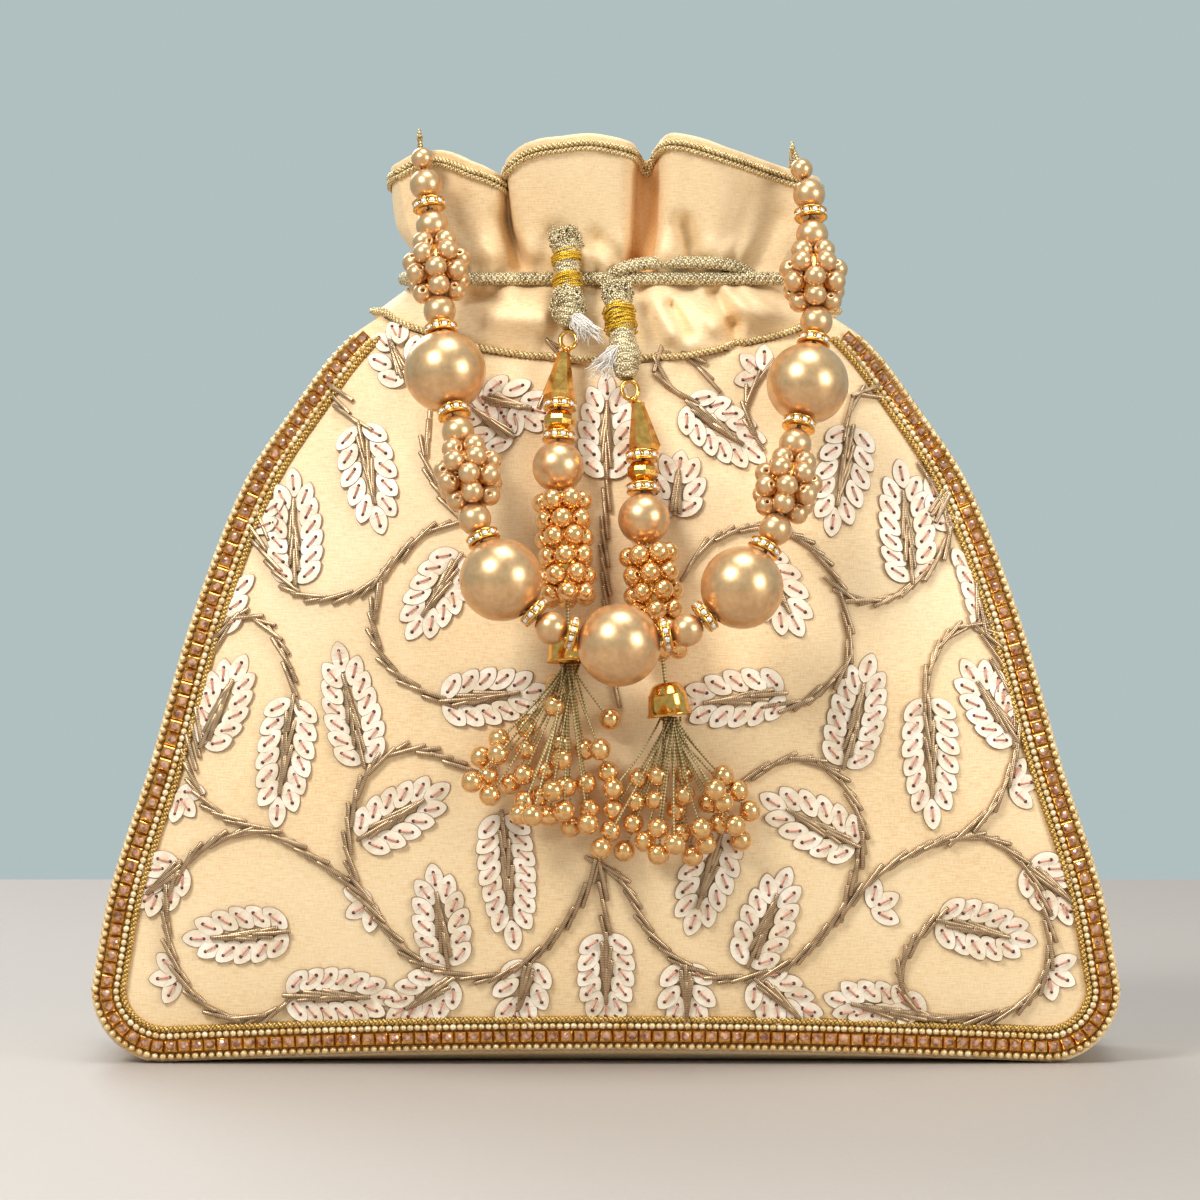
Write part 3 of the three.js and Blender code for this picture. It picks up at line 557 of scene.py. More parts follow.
def depth_at(side, height):
    return gusset_depth(height) + (panel_depth(height) - gusset_depth(height)) * bulge(side)


def seam_height(side):
    return SEAM_HEIGHT + SEAM_RISE * np.minimum(np.abs(side), 1) ** 1.5


def foot_height(side):
    return 0.6 + 3 * (1 - side ** 2)


# Soft folds: a line from one place (x, z) to another, its width and its height
PANEL_FOLDS = [
    ((-33, 166), (-38, 150), 5, 1.3),
    ((-20, 166), (-22, 140), 4.5, 1.2),
    ((-8, 167), (-6, 132), 5, -1.1),
    ((10, 166), (11, 138), 4.5, 1.3),
    ((24, 166), (27, 146), 4, -1.0),
    ((38, 169), (46, 148), 6, 1.3),
    ((-52, 173), (-62, 150), 6, 1.1),
    ((56, 175), (66, 152), 6, 1.0),
    ((-70, 120), (-84, 70), 14, 0.7),
    ((70, 118), (84, 66), 14, 0.7),
    ((-30, 30), (30, 28), 12, -0.5),
]
YOKE_FOLDS = [
    ((-49, 183), (-35, 187), 3.5, 2.4),
    ((-35, 185.5), (-27, 184.5), 1.8, -4.0),
    ((-26, 181), (-16, 180), 4.5, 3.6),
    ((-38, 178), (-30, 172), 3, 1.6),
    ((-11, 185), (-2, 170), 3.5, -2.8),
    ((4, 184), (7, 173), 3, 2.2),
    ((11.5, 184), (16, 175.5), 2.6, 3.0),
    ((16, 175.5), (21, 172), 2.6, 1.2),
    ((15.6, 182.5), (19.4, 175.5), 1.5, -4.2),
    ((21, 184), (26, 177.5), 2.4, 3.4),
    ((26, 177.5), (27, 172), 2.4, 1.8),
    ((26, 185.5), (31, 178), 1.8, -3.8),
    ((31, 178), (31.5, 170), 1.6, -3.0),
    ((33, 183), (44, 182), 4.5, 3.4),
    ((36, 175), (47, 177), 2.5, -1.6),
]
RUFFLE_FOLDS = [
    ((18.5, 202), (22, 191.6), 2.2, -4.2),
    ((20.5, 196), (22.5, 191.6), 3.2, -3.0),
    ((5.5, 214), (6.5, 191.6), 1.6, -2.2),
    ((-25, 204), (-21, 191.6), 2.8, -4.6),
    ((-2.5, 198), (6, 192), 2.4, -3.4),
    ((34, 209), (29, 194), 3.0, -1.8),
    ((-13, 200), (-15, 192), 2.6, -1.8),
    ((-36, 206), (-31, 192), 3.0, -2.6),
    ((42, 203), (37, 192), 2.4, -2.4),
]


def folded(x, z, folds):
    height = np.zeros_like(np.asarray(x, float) + z)
    for start, end, width, rise in folds:
        (x0, z0), (x1, z1) = start, end
        length = (x1 - x0) ** 2 + (z1 - z0) ** 2
        t = np.clip(((x - x0) * (x1 - x0) + (z - z0) * (z1 - z0)) / length, 0, 1)
        away = (x - x0 - t * (x1 - x0)) ** 2 + (z - z0 - t * (z1 - z0)) ** 2
        height = height + rise * np.exp(-away / width ** 2)
    return height


def panel_relief(x, z, facing):
    """How far a panel's cloth stands off its plain form."""
    side = x / half_width(z)
    below_seam = np.maximum(seam_height(side) - z, 0)
    gathers = 0.8 * np.exp(-below_seam / 9) * (1 - np.exp(-below_seam / 1.5))
    gathers = gathers * np.cos(x / 2.1 + 1.3 * np.sin(x / 7))
    sag = 0.35 * np.sin(x / 23 + z / 41 + 1) * np.sin(z / 27 - x / 60)
    folds = folded(x, z, PANEL_FOLDS) if facing < 0 else 1.5 * folded(-x * 0.9, z * 0.98, PANEL_FOLDS)
    return (gathers + sag + folds) * (1 - np.minimum(np.abs(side), 1) ** 6) * np.clip(z / 14, 0, 1)


def panel_y(x, z, facing=-1):
    return facing * (depth_at(x / half_width(z), z) + panel_relief(x, z, facing))


def on_panel(x, z, stand=0.0):
    """A point on the front panel, and that many millimetres off it."""
    y = panel_y(x, z)
    step = 0.5
    slope_x = (panel_y(x + step, z) - panel_y(x - step, z)) / (2 * step)
    slope_z = (panel_y(x, z + step) - panel_y(x, z - step)) / (2 * step)
    normal = unit([slope_x, -1.0, slope_z])
    return np.array([x, float(y), z]) + stand * normal, normal


# Body: two panels, the gusset between them and the lining inside
def solidify(piece, thickness, inside_material=0):
    modifier = piece.modifiers.new("cloth", "SOLIDIFY")
    modifier.thickness = thickness * MM
    modifier.offset = -1
    modifier.material_offset = inside_material
    return piece


def add_panel(name, facing, columns, rows):
    def place(across, along):
        side = 2 * across - 1
        foot = foot_height(side)
        z = foot + (seam_height(side) - foot) * along ** 1.2
        x = -facing * side * half_width(z)
        return np.stack([x, panel_y(x, z, facing), z], -1), np.stack([x / 10, z / 10], -1)
    form = grid(columns, rows, place)
    piece = solidify(add_piece(name + "_silk", form, [SILK], "bag", [name]), CLOTH)


add_panel("front_panel", -1, 170, 130)
add_panel("back_panel", 1, 120, 90)


def edge_line(inset, top=TRIM_TOP, foot=foot_height, spacing=0.8):
    """(x, z) along a panel's edge, from the left side seam round the base to the right one."""
    z = np.linspace(top, CORNER, 160)
    side = np.stack([inset - half_width(z), z], 1)
    turn = np.linspace(0, np.pi / 2, 26)[1:]
    low = CORNER - foot(1) - inset
    corner = np.stack([CORNER - HALF_WIDTH - (CORNER - inset) * np.cos(turn), CORNER - low * np.sin(turn)], 1)
    x = np.linspace(CORNER - HALF_WIDTH, 0, 60)[1:]
    base = np.stack([x, foot(x / (HALF_WIDTH - CORNER)) + inset], 1)
    left = np.concatenate([side, corner, base])
    line = np.concatenate([left, left[-2::-1] * (-1, 1)])
    return evenly(line, int(length_of(line) / spacing))


def add_gusset():
    line = edge_line(1, SIDE_SEAM_HEIGHT - 0.3, lambda side: -1 + 0 * side, 3)
    ahead = unit(np.gradient(line, axis=0))
    inward = np.stack([-ahead[:, 1], ahead[:, 0]], 1)

    def place(lean, along):
        row = np.round(along * (len(line) - 1)).astype(int)
        x, z = line[row, 0], line[row, 1]
        height = np.maximum(z, 0.6)
        side = np.clip(x / half_width(height), -1, 1)
        lean = 2 * lean - 1
        reach = depth_at(side, height) - CLOTH - 0.1
        on_base = np.clip(inward[row, 1], 0, 1) ** 8
        arch = on_base * 3 * (1 - side ** 2) * np.maximum(np.abs(lean) - 0.5, 0) ** 2 * 4
        fold = 0.5 * (1 - on_base) * np.sin(z / 5 + 2 * np.sin(z / 17)) * (1 - lean ** 2)
        slack = 1.2 * (1 - on_base) * (1 - lean ** 2) * np.clip(z / 30, 0, 1) + fold
        points = np.stack([
            x + slack * inward[row, 0], lean * reach, np.maximum(z + arch + slack * inward[row, 1], 0),
        ], -1)
        return points, np.stack([lean * reach / 10, row * 0.3], -1)
    form = grid(26, len(line) - 1, place)
    piece = solidify(add_piece("gusset_silk", form, [SILK], "bag", ["gusset"]), 1)


add_gusset()


def wall_place(around):
    is_back = around >= 0.5
    half = np.where(is_back, around - 0.5, around)
    front = 24 / 56
    side = np.where(half < front, 2 * half / front - 1, 1.0)
    lean = np.where(half < front, 1.0, 1 - 2 * (half - front) / (0.5 - front))
    return np.where(is_back, -side, side), np.where(is_back, 1, -1) * lean


def wall_point(around, height, inset):
    side, lean = wall_place(around)
    swell = 0.35 * gusset_depth(height) * (1 - lean ** 2)
    reach = np.abs(side) * half_width(height) - inset * side ** 4 + swell
    return np.stack([np.sign(side) * reach, lean * (depth_at(side, height) - inset), height + 0 * side], -1)


def add_lining():
    def place(around, row):
        side, lean = wall_place(around)
        row = row * 1.1 - 0.1
        climb = seam_height(side) - 0.3 - LINING_FLOOR
        height = LINING_FLOOR + climb * np.maximum(row, 0) ** 1.5
        drop = np.maximum(CORNER - height, 0) / (CORNER - LINING_FLOOR)
        corner = np.where(height < CORNER, (CORNER - 3) * (1 - np.sqrt(1 - np.minimum(drop, 1) ** 2)), 0)
        width = np.where(height < CORNER, HALF_WIDTH, half_width(height)) - LINING_INSET - corner
        depth = depth_at(side, height) - LINING_GAP - 0.5 * np.sin(side * 40) ** 2
        shrink = np.where(row < 0, 0.0, 1.0)
        points = np.stack([side * width * shrink, lean * depth * shrink, height], -1)
        return points, np.stack([side * width / 10, height / 10 + lean], -1)
    form = grid(140, 40, place, True)
    piece = solidify(add_piece("lining_satin", form, [SATIN], "bag", ["lining"]), 0.6)


add_lining()


# Neck: the gathered yoke under the drawstring and the waved ruffle above it, faced with satin inside
YOKE_SHARE = 0.4
PUFF_SWELL = through([
    (-1, 2.5), (-0.86, 4.2), (-0.74, 1.0), (-0.66, -0.6), (-0.55, 2.6), (-0.4, 4.2), (-0.28, 3.6), (-0.2, 0),
    (-0.12, 1.8), (0, 2.2), (0.1, -0.6), (0.16, -0.8), (0.24, 3.0), (0.34, 4.2), (0.42, 0.4), (0.47, -0.8),
    (0.56, 3.8), (0.7, 4.8), (0.8, 4.4), (0.9, 3.0), (1, 2.5),
])
RUFFLE_SWELL = through([
    (-1, 0), (-0.85, 0.6), (-0.68, 4.2), (-0.57, 2), (-0.5, -6.5), (-0.455, -6.5), (-0.41, 3.5), (-0.2, 6),
    (0, 5.4), (0.09, 2.4), (0.135, -8), (0.255, -8.5), (0.3, 4.5), (0.4, 6), (0.55, 6.3), (0.7, 3.4),
    (0.85, 0.4), (1, 0),
])
RUFFLE_SHIFT = through([
    (-1, 0), (-0.66, 0), (-0.55, 2.4), (-0.48, 0), (-0.42, -2.6), (-0.34, 0), (0, 0), (0.09, 1.6), (0.19, 0),
    (0.29, -1.2), (0.38, 0), (1, 0),
])
BACK_SWELL = through([
    (-1, 0), (-0.8, 1), (-0.6, 4.5), (-0.42, -4), (-0.2, 5), (0.05, 4), (0.22, -4.5), (0.45, 5), (0.65, 3),
    (0.85, 0.5), (1, 0),
])
hem_height = through([
    (-1, HEM_HEIGHT - 5), (-0.9, HEM_HEIGHT - 2.6), (-0.77, HEM_HEIGHT - 2.2), (-0.62, HEM_HEIGHT - 5.5),
    (-0.5, HEM_HEIGHT - 9), (-0.43, HEM_HEIGHT - 5), (-0.36, HEM_HEIGHT - 0.5), (-0.2, HEM_HEIGHT + 1.2),
    (-0.05, HEM_HEIGHT + 1.7), (0.09, HEM_HEIGHT - 0.3), (0.2, HEM_HEIGHT - 4.5), (0.27, HEM_HEIGHT),
    (0.33, HEM_HEIGHT + 1.9), (0.6, HEM_HEIGHT - 2), (0.85, HEM_HEIGHT - 6), (1, HEM_HEIGHT - 8),
])
back_hem_height = through([
    (-1, HEM_HEIGHT - 9), (-0.5, HEM_HEIGHT - 12), (-0.1, HEM_HEIGHT - 6), (0.2, HEM_HEIGHT - 8),
    (0.5, HEM_HEIGHT - 6), (1, HEM_HEIGHT - 10),
])


def hem_at(side, lean):
    share = (lean + 1) / 2
    return hem_height(side) * (1 - share) + back_hem_height(side) * share


def neck_point(around, row, inset=0.0):
    """row runs from 0 at the yoke seam to 1 at the hem."""
    around, row = np.broadcast_arrays(np.asarray(around, float) % 1, np.asarray(row, float))
    side, lean = wall_place(around)
    seam = seam_height(side) + 0.3
    hem = hem_at(side, lean)
    low = np.clip(row / YOKE_SHARE, 0, 1)
    climb = np.clip((row - YOKE_SHARE) / (1 - YOKE_SHARE), 0, 1)
    height = np.where(
        row < YOKE_SHARE, seam + (CORD_HEIGHT - seam) * low, CORD_HEIGHT + (hem - CORD_HEIGHT) * climb)
    point = wall_point(around, height, inset)
    face = np.minimum(bulge(side) * 1.6, 1) * np.abs(lean)
    puff = np.where(lean < 0, PUFF_SWELL(side), PUFF_SWELL(-side)) * np.sin(np.pi * low) ** 0.85
    swell = np.where(lean < 0, RUFFLE_SWELL(side), BACK_SWELL(side)) * climb ** 0.5
    near_cord = np.exp(-(height - CORD_HEIGHT) ** 2 / 55)
    pleats = 0.8 * near_cord * np.cos(side * 40 + 1.8 * np.sin(side * 9))
    ripple = 0.35 * np.sin(side * 17 + height / 9) * climb
    over_cord = np.exp(-((height - CORD_HEIGHT - 6) / 3.6) ** 2) * (climb > 0)
    roll = 2.8 * over_cord * np.clip(RUFFLE_SWELL(side) / 4, 0, 1)
    in_yoke = (row < YOKE_SHARE) * np.sin(np.pi * low) ** 0.6
    crease = 1.25 * folded(point[..., 0], height, YOKE_FOLDS) * in_yoke
    crease = crease + folded(point[..., 0], height, RUFFLE_FOLDS) * np.minimum(climb * 8, 1)
    point[..., 1] += np.sign(lean) * face * (puff + swell + roll + pleats + ripple + crease * (lean < 0))
    point[..., 0] += np.where(lean < 0, RUFFLE_SHIFT(side), 0) * climb ** 0.8 * face
    ends = np.sign(point[..., 0]) * (1 - np.abs(lean))
    point[..., 0] += ends * (1.2 * np.sin(np.pi * low) + 0.8 * climb * np.sin(height / 6))
    return point


def neck_normal(around, row):
    a = neck_point(around + 0.002, row) - neck_point(around - 0.002, row)
    b = neck_point(around, np.minimum(row + 0.01, 1)) - neck_point(around, np.maximum(row - 0.01, 0))
    return unit(np.cross(a, b))


def add_neck():
    def place(around, row):
        points = neck_point(around, row)
        return points, np.stack([around * 31, points[..., 2] / 10], -1)
    form = grid(480, 72, place, True)
    side, lean = wall_place((np.arange(480) + 0.5) / 480)
    is_valley = (lean < -0.9) & (side > 0.125) & (side < 0.27)
    marks = [int(is_valley[face[0] % 480] and face[0] // 480 > 29) for face in form.faces]
    piece = add_piece("neck_silk", form, [SILK, SATIN], "bag", ["neck_ruffle"], marks)
    solidify(piece, CLOTH, 1)


add_neck()


def neck_line(drop, stand, count=420, row=None):
    """A closed line on the neck: drop mm below the hem, or at a row, and stand mm off the cloth."""
    around = np.arange(count) / count
    if row is None:
        side, lean = wall_place(around)
        rise = hem_at(side, lean) - CORD_HEIGHT
        row = 1 - (1 - YOKE_SHARE) * drop / rise
    row = np.broadcast_to(row, around.shape)
    return neck_point(around, row) + stand * neck_normal(around, row)


def add_braids():
    hem = Heap()
    for drop, hand in ((2.0, 1), (3.4, -1)):
        wound(hem, neck_line(drop, 0.5), 0.34, 2.4, 2, 0.43, 4, is_ring=True, hand=hand)
    add_heap("hem_braid_twist", hem, [BRAID], "bag", ["hem_braid"])
    yoke = Heap()
    wound(yoke, neck_line(0, 0.7, row=0.015), 0.45, 2.4, 2, 0.5, 4, is_ring=True)
    add_heap("yoke_braid_twist", yoke, [BRAID], "bag", ["yoke_braid"])


add_braids()


# Trim: seed beads, rose stones in gold cups, seed beads and a gold cord, sewn on a tape along each panel.
# Insets are from the panel's edge and stands are off the trim's band.
OUTER_BEADS = {"inset": 1.0, "stand": 0.3, "spacing": 1.95}
INNER_BEADS = {"inset": 6.1, "stand": 0.5, "spacing": 1.7}
STONES = {"inset": 3.65, "stand": 0.8, "spacing": 3.15}
TRIM_CORD = {"inset": 7.7, "stand": 0.1, "spacing": 1.5}
TAPE_INSETS = (0.6, 4.2, 8.0)
TAPE_MOST = 230  # points along each of its three lines
STONE = turned([(0.55, 0.55), (1.2, 0.05), (1.3, -0.3)], 8)
CUP = turned([(1.95, -0.75), (2.0, 0.15), (1.75, 0.35), (1.55, 0.1)], 4)
SEED_BEAD = ball(1.0, 8, 6)


def trim_rail(facing, inset, stand, spacing):
    line = edge_line(inset, spacing=spacing)
    x, z = line.T
    y = facing * (depth_at(np.clip(x / half_width(z), -1, 1), z) + TRIM_STAND + stand)
    return np.stack([x, y, z], 1)


def along_rail(rail):
    ahead = unit(np.gradient(rail, axis=0))
    return zip(rail, ahead)


def add_trim(name, facing):
    out = np.array([0, facing, 0])
    beads, stones = Heap(), Heap()
    for at, ahead in along_rail(trim_rail(facing, **OUTER_BEADS)):
        size = chance.uniform(0.9, 1.02)
        beads.add(SEED_BEAD, placed(at, ahead, out, (size, size, 0.86 * size)), 0)
    for at, ahead in along_rail(trim_rail(facing, **INNER_BEADS)):
        size = chance.uniform(0.76, 0.84)
        beads.add(SEED_BEAD, placed(at, ahead, out, (size, size, size)), 1)
    for at, ahead in along_rail(trim_rail(facing, **STONES)):
        tilt = out + np.array([chance.uniform(-0.12, 0.12), 0, chance.uniform(-0.12, 0.12)])
        place = placed(at, tilt, ahead)
        turn = place.copy()
        half = math.sqrt(0.5)
        turn[:3, 0] = half * (place[:3, 0] + place[:3, 1])
        turn[:3, 1] = half * (place[:3, 1] - place[:3, 0])
        stones.add(CUP, turn, 0)
        stones.add(STONE, place, 1)
    cord = Heap()
    wound(cord, trim_rail(facing, **TRIM_CORD), 0.42, 2.3, 2, 0.5, 5)
    rails = [trim_rail(facing, inset, -0.25, 2.5)[:TAPE_MOST] for inset in TAPE_INSETS]
    steps = min(len(rail) for rail in rails)
    rails = [evenly(rail, steps) for rail in rails]
    tape = Form(np.concatenate(rails), [
        [k * steps + i, k * steps + i + 1, (k + 1) * steps + i + 1, (k + 1) * steps + i]
        for k in range(2) for i in range(steps - 1)
    ])
    add_heap(name + "_seed_beads", beads, [SEED, PALE_SEED], "bag", [name])
    add_heap(name + "_stones", stones, [GOLD, ROSE_STONE], "bag", is_flat=True)
    add_heap(name + "_cord", cord, [ZARI], "bag")
    solidify(add_piece(name + "_tape", tape, [TAPE], "bag"), 0.3)


add_trim("front_trim", -1)
add_trim("back_trim", 1)


# Embroidery on the front panel: vines and leaf veins of cut metal coil, leaves of sequins.
# The pattern's places are pixels of the photograph's frame.
VINES = [
    [(355, 425), (340, 412), (326, 391), (313, 391), (284, 416), (261, 453), (250, 487), (246, 529),
     (267, 564), (294, 594), (332, 600), (370, 587), (397, 560), (428, 533), (447, 529)],
    [(380, 590), (372, 619), (380, 655), (405, 682), (440, 702)],
    [(292, 695), (285, 665), (270, 635), (245, 620), (222, 628), (205, 645), (188, 685), (182, 733),
     (190, 784), (215, 815), (253, 830)],
    [(281, 1012), (253, 1026), (213, 1019), (180, 988), (164, 942), (167, 894), (195, 856), (233, 838),
     (270, 837), (317, 863), (355, 894), (386, 932), (424, 968), (486, 981), (527, 963), (555, 938),
     (582, 899), (597, 866)],
    [(473, 774), (437, 756), (409, 751), (379, 763), (358, 792), (347, 840), (354, 880), (368, 904)],
    [(482, 335), (509, 326), (540, 337), (559, 362), (553, 385), (546, 394)],
    [(430, 424), (424, 452), (428, 472), (438, 493), (451, 511)],
    [(603, 866), (624, 885), (647, 929), (676, 961), (720, 981), (766, 977), (804, 957), (845, 913),
     (876, 879), (915, 855), (954, 842), (993, 843), (1027, 870), (1048, 913), (1054, 957), (1039, 998),
     (1002, 1022), (954, 1028), (917, 1013), (903, 976), (920, 942), (937, 925)],
    [(742, 782), (782, 763), (806, 761), (835, 776), (857, 811), (863, 850), (845, 906)],
    [(925, 700), (930, 675), (945, 645), (965, 632), (985, 630), (1003, 643), (1015, 670), (1027, 716),
     (1014, 773), (990, 816), (964, 836)],
    [(848, 426), (857, 405), (868, 394), (899, 407), (926, 443), (947, 484), (955, 526), (939, 564),
     (903, 595), (872, 603), (845, 594), (820, 558), (790, 536), (750, 530), (712, 543), (690, 566)],
    [(845, 604), (850, 640), (842, 675), (800, 705), (782, 706)],
    [(682, 397), (667, 385), (659, 370), (661, 357), (678, 351), (695, 362), (709, 381)],
    [(766, 376), (752, 392), (747, 414), (756, 436)],
    [(608, 480), (605, 560), (610, 640), (615, 690)],
    [(602, 866), (604, 900), (606, 936)],
]
# Leaves of sequins, from base to tip
LEAVES = [
    ((357, 428), (378, 526)), ((294, 586), (290, 481)), ((206, 634), (220, 552)),
    ((200, 748), (238, 668)), ((292, 700), (275, 819)), ((363, 766), (338, 655)),
    ((360, 840), (440, 792)), ((447, 968), (433, 876)), ((284, 935), (190, 944)),
    ((284, 1000), (388, 1002)), ((450, 984), (394, 1020)), ((529, 970), (514, 1026)),
    ((606, 938), (606, 1024)), ((502, 814), (513, 942)), ((443, 703), (538, 692)),
    ((460, 558), (413, 632)), ((486, 400), (542, 414)), ((512, 438), (464, 404)),
    ((404, 380), (383, 330)), ((174, 872), (136, 905)), ((607, 478), (607, 384)),
    ((855, 430), (833, 528)), ((914, 585), (904, 472)), ((1000, 635), (988, 548)),
    ((1019, 743), (970, 672)), ((930, 700), (934, 821)), ((845, 768), (870, 666)),
    ((857, 848), (770, 802)), ((750, 968), (786, 879)), ((942, 924), (1030, 946)),
    ((925, 1024), (836, 1004)), ((759, 984), (812, 1032)), ((686, 972), (688, 1034)),
    ((722, 834), (692, 928)), ((784, 694), (684, 706)), ((758, 560), (798, 628)),
    ((688, 406), (758, 457)), ((1034, 872), (1086, 916)), ((946, 524), (972, 476)),
    ((675, 512), (680, 462)), ((236, 530), (252, 478)),
]
# Sprigs of three sequins: base, and the way that they point
SPRIGS = [
    ((172, 796), (196, 826)), ((372, 904), (334, 926)), ((176, 982), (146, 986)),
    ((1012, 790), (1038, 786)), ((872, 912), (904, 896)), ((1052, 976), (1078, 990)),
    ((766, 376), (756, 368)),
]
LEAF_HALF_WIDTH = 4.2
SEQUIN_LENGTH = 7.4
SEQUIN_WIDTH = 4.3
SEQUIN_HOLE = 1.5  # from its middle to each hole
COIL_LENGTH = 9.4
COIL_RADIUS = 0.58


def make_sequin():
    """A pointed oval with two holes, its length along Z and its face along Y."""
    outline = []
    for i in range(18):
        turn = 2 * math.pi * i / 18
        pinch = abs(math.sin(turn)) ** 1.35 * math.copysign(1, math.sin(turn))
        outline.append((0.5 * SEQUIN_WIDTH * pinch, 0.5 * SEQUIN_LENGTH * math.cos(turn)))
    loops = [outline]
    for centre in (-SEQUIN_HOLE, SEQUIN_HOLE):
        loops.append([
            (0.42 * math.cos(-math.pi * i / 3), centre + 0.42 * math.sin(-math.pi * i / 3)) for i in range(6)
        ])
    flat = [point for loop in loops for point in loop]
    outlines = [[Vector((x, z, 0)) for x, z in loop] for loop in loops]
    faces = [list(face) for face in tessellate_polygon(outlines)]
    dome = [0.16 * (1 - (x / SEQUIN_WIDTH * 2) ** 2) for x, _ in flat]
    # The base is spread wider than the top so that the side walls, coloured as painted shadow, show from the
    # front as a thin dark outline.
    spread = [1.07] * len(outline) + [1] * 12
    top = [(x, d, z) for (x, z), d in zip(flat, dome)]
    low = [(x * s, d - 0.3, z * s) for (x, z), d, s in zip(flat, dome, spread)]
    count = len(flat)
    face = Form(top, faces)
    faces = []
    first = 0
    for loop in loops:
        for i in range(len(loop)):
            a, b = first + i, first + (i + 1) % len(loop)
            faces.append([a, b, b + count, a + count])
        first += len(loop)
    return face, Form(top + low, faces)


SEQUIN_FACE, SEQUIN_RIM = make_sequin()
COIL_FORM = tube(
    [(0, 0, z * COIL_LENGTH) for z in (-0.5, -0.47, -0.2, 0.2, 0.47, 0.5)],
    np.array([0.7, 1, 1, 1, 1, 0.7]) * COIL_RADIUS, 7)
KNOT_FORM = ball(0.5, 6, 4)
STITCH_FORM = tube([(0, y, z * SEQUIN_HOLE) for z, y in ((-1, 0), (-0.6, 0.3), (0.6, 0.3), (1, 0))], 0.23, 4)


def lay(heap, form, x, z, direction, stand, roll=0.0, pitch=0.0, mark=0):
    """Lays a form on the front panel, its Z along direction (x, z)."""
    at, normal = on_panel(x, z, stand)
    step = 1.5
    ahead, _ = on_panel(x + step * direction[0], z + step * direction[1], stand)
    axis = ahead - at
    side = np.cross(axis, normal)
    heap.add(form, placed(at, axis + pitch * step * normal, normal + roll * unit(side)), mark)


def kept_in(x, z, room):
    """A place on the front panel moved off its trim, or None if it lies too far out."""
    z = max(z, foot_height(x / HALF_WIDTH) + TRIM_WIDTH + room)
    most = float(half_width(z)) - TRIM_WIDTH - room
    if abs(x) > most + 3.5:
        return None
    return max(min(x, most), -most), z


def lay_sequin(sequins, x, z, direction, level):
    kept = kept_in(x, z, 1.7)
    if kept is None:
        return
    x, z = kept
    roll, pitch = chance.uniform(-0.12, 0.12), chance.uniform(-0.03, 0.1)
    stand = 0.45 + 0.16 * level
    lay(sequins[0], SEQUIN_FACE, x, z, direction, stand, roll, pitch)
    # The side walls take the painted edge shadow.
    lay(sequins[0], SEQUIN_RIM, x, z, direction, stand, roll, pitch, 1)
    lay(sequins[1], STITCH_FORM, x, z, direction, stand + 0.18, roll, pitch)
    # A knot in each hole, coloured as painted hole shade.
    for end in (-SEQUIN_HOLE, SEQUIN_HOLE):
        knot_x, knot_z = x + end * direction[0], z + end * direction[1]
        lay(sequins[2], KNOT_FORM, knot_x, knot_z, direction, stand + 0.02 + 0.05 * end)


def turned_by(direction, degrees):
    turn = math.radians(degrees)
    x, z = direction
    return x * math.cos(turn) - z * math.sin(turn), x * math.sin(turn) + z * math.cos(turn)


def lay_coil(coils, x, z, direction, stand, degrees=0.0):
    kept = kept_in(x, z, 1.2)
    if kept is not None:
        lay(coils, COIL_FORM, *kept, turned_by(direction, degrees + chance.uniform(-2.5, 2.5)), stand)


def add_leaf(coils, sequins, base, tip):
    start, end = np.array(photo(*base)), np.array(photo(*tip))
    length = np.linalg.norm(end - start)
    ahead = (end - start) / length
    across = np.array([-ahead[1], ahead[0]])
    pairs = max(round(length / 4.5), 2)
    lay_sequin(sequins, *(end - 1.0 * ahead), turned_by(ahead, chance.uniform(-6, 6)), 0)
    for hand in (-1, 1):
        for i in range(pairs):
            share = i / max(pairs - 1, 1)
            along = (0.1 + 0.72 * share) * length
            reach = LEAF_HALF_WIDTH * math.sin(math.pi * (0.24 + 0.6 * share)) ** 0.6
            place = start + along * ahead + hand * reach * across
            splay = hand * (50 - 26 * share ** 1.5 + chance.uniform(-5, 5))
            lay_sequin(sequins, *place, turned_by(ahead, splay), 1.2 * (1 - share) + 0.6)
    reach = 0.5 * (length - COIL_LENGTH)
    for offset, share, degrees in (
        (0, -0.95, 0), (-0.6, -0.5, 5), (0.6, -0.3, -6), (-0.5, 0.1, 7), (0.75, 0.3, -8), (0, 0.6, 1),
    ):
        place = start + (0.5 * length - 1.5 + share * reach) * ahead + offset * across
        lay_coil(coils, *place, ahead, 0.8 + 0.3 * abs(share), degrees)


def add_vine(coils, stations):
    points = [photo(*station) for station in stations]
    dense = curve(points, 200)
    line = evenly(dense, max(int(length_of(dense) / 3.1), 4))
    ahead = unit(np.gradient(line, axis=0))
    for i, (place, direction) in enumerate(zip(line, ahead)):
        across = np.array([-direction[1], direction[0]])
        offset = (-0.25, 0.2)[i % 2] + chance.uniform(-0.12, 0.12)
        lay_coil(coils, *(place + offset * across), direction, 0.62 + 0.3 * (i % 2), 9.5)


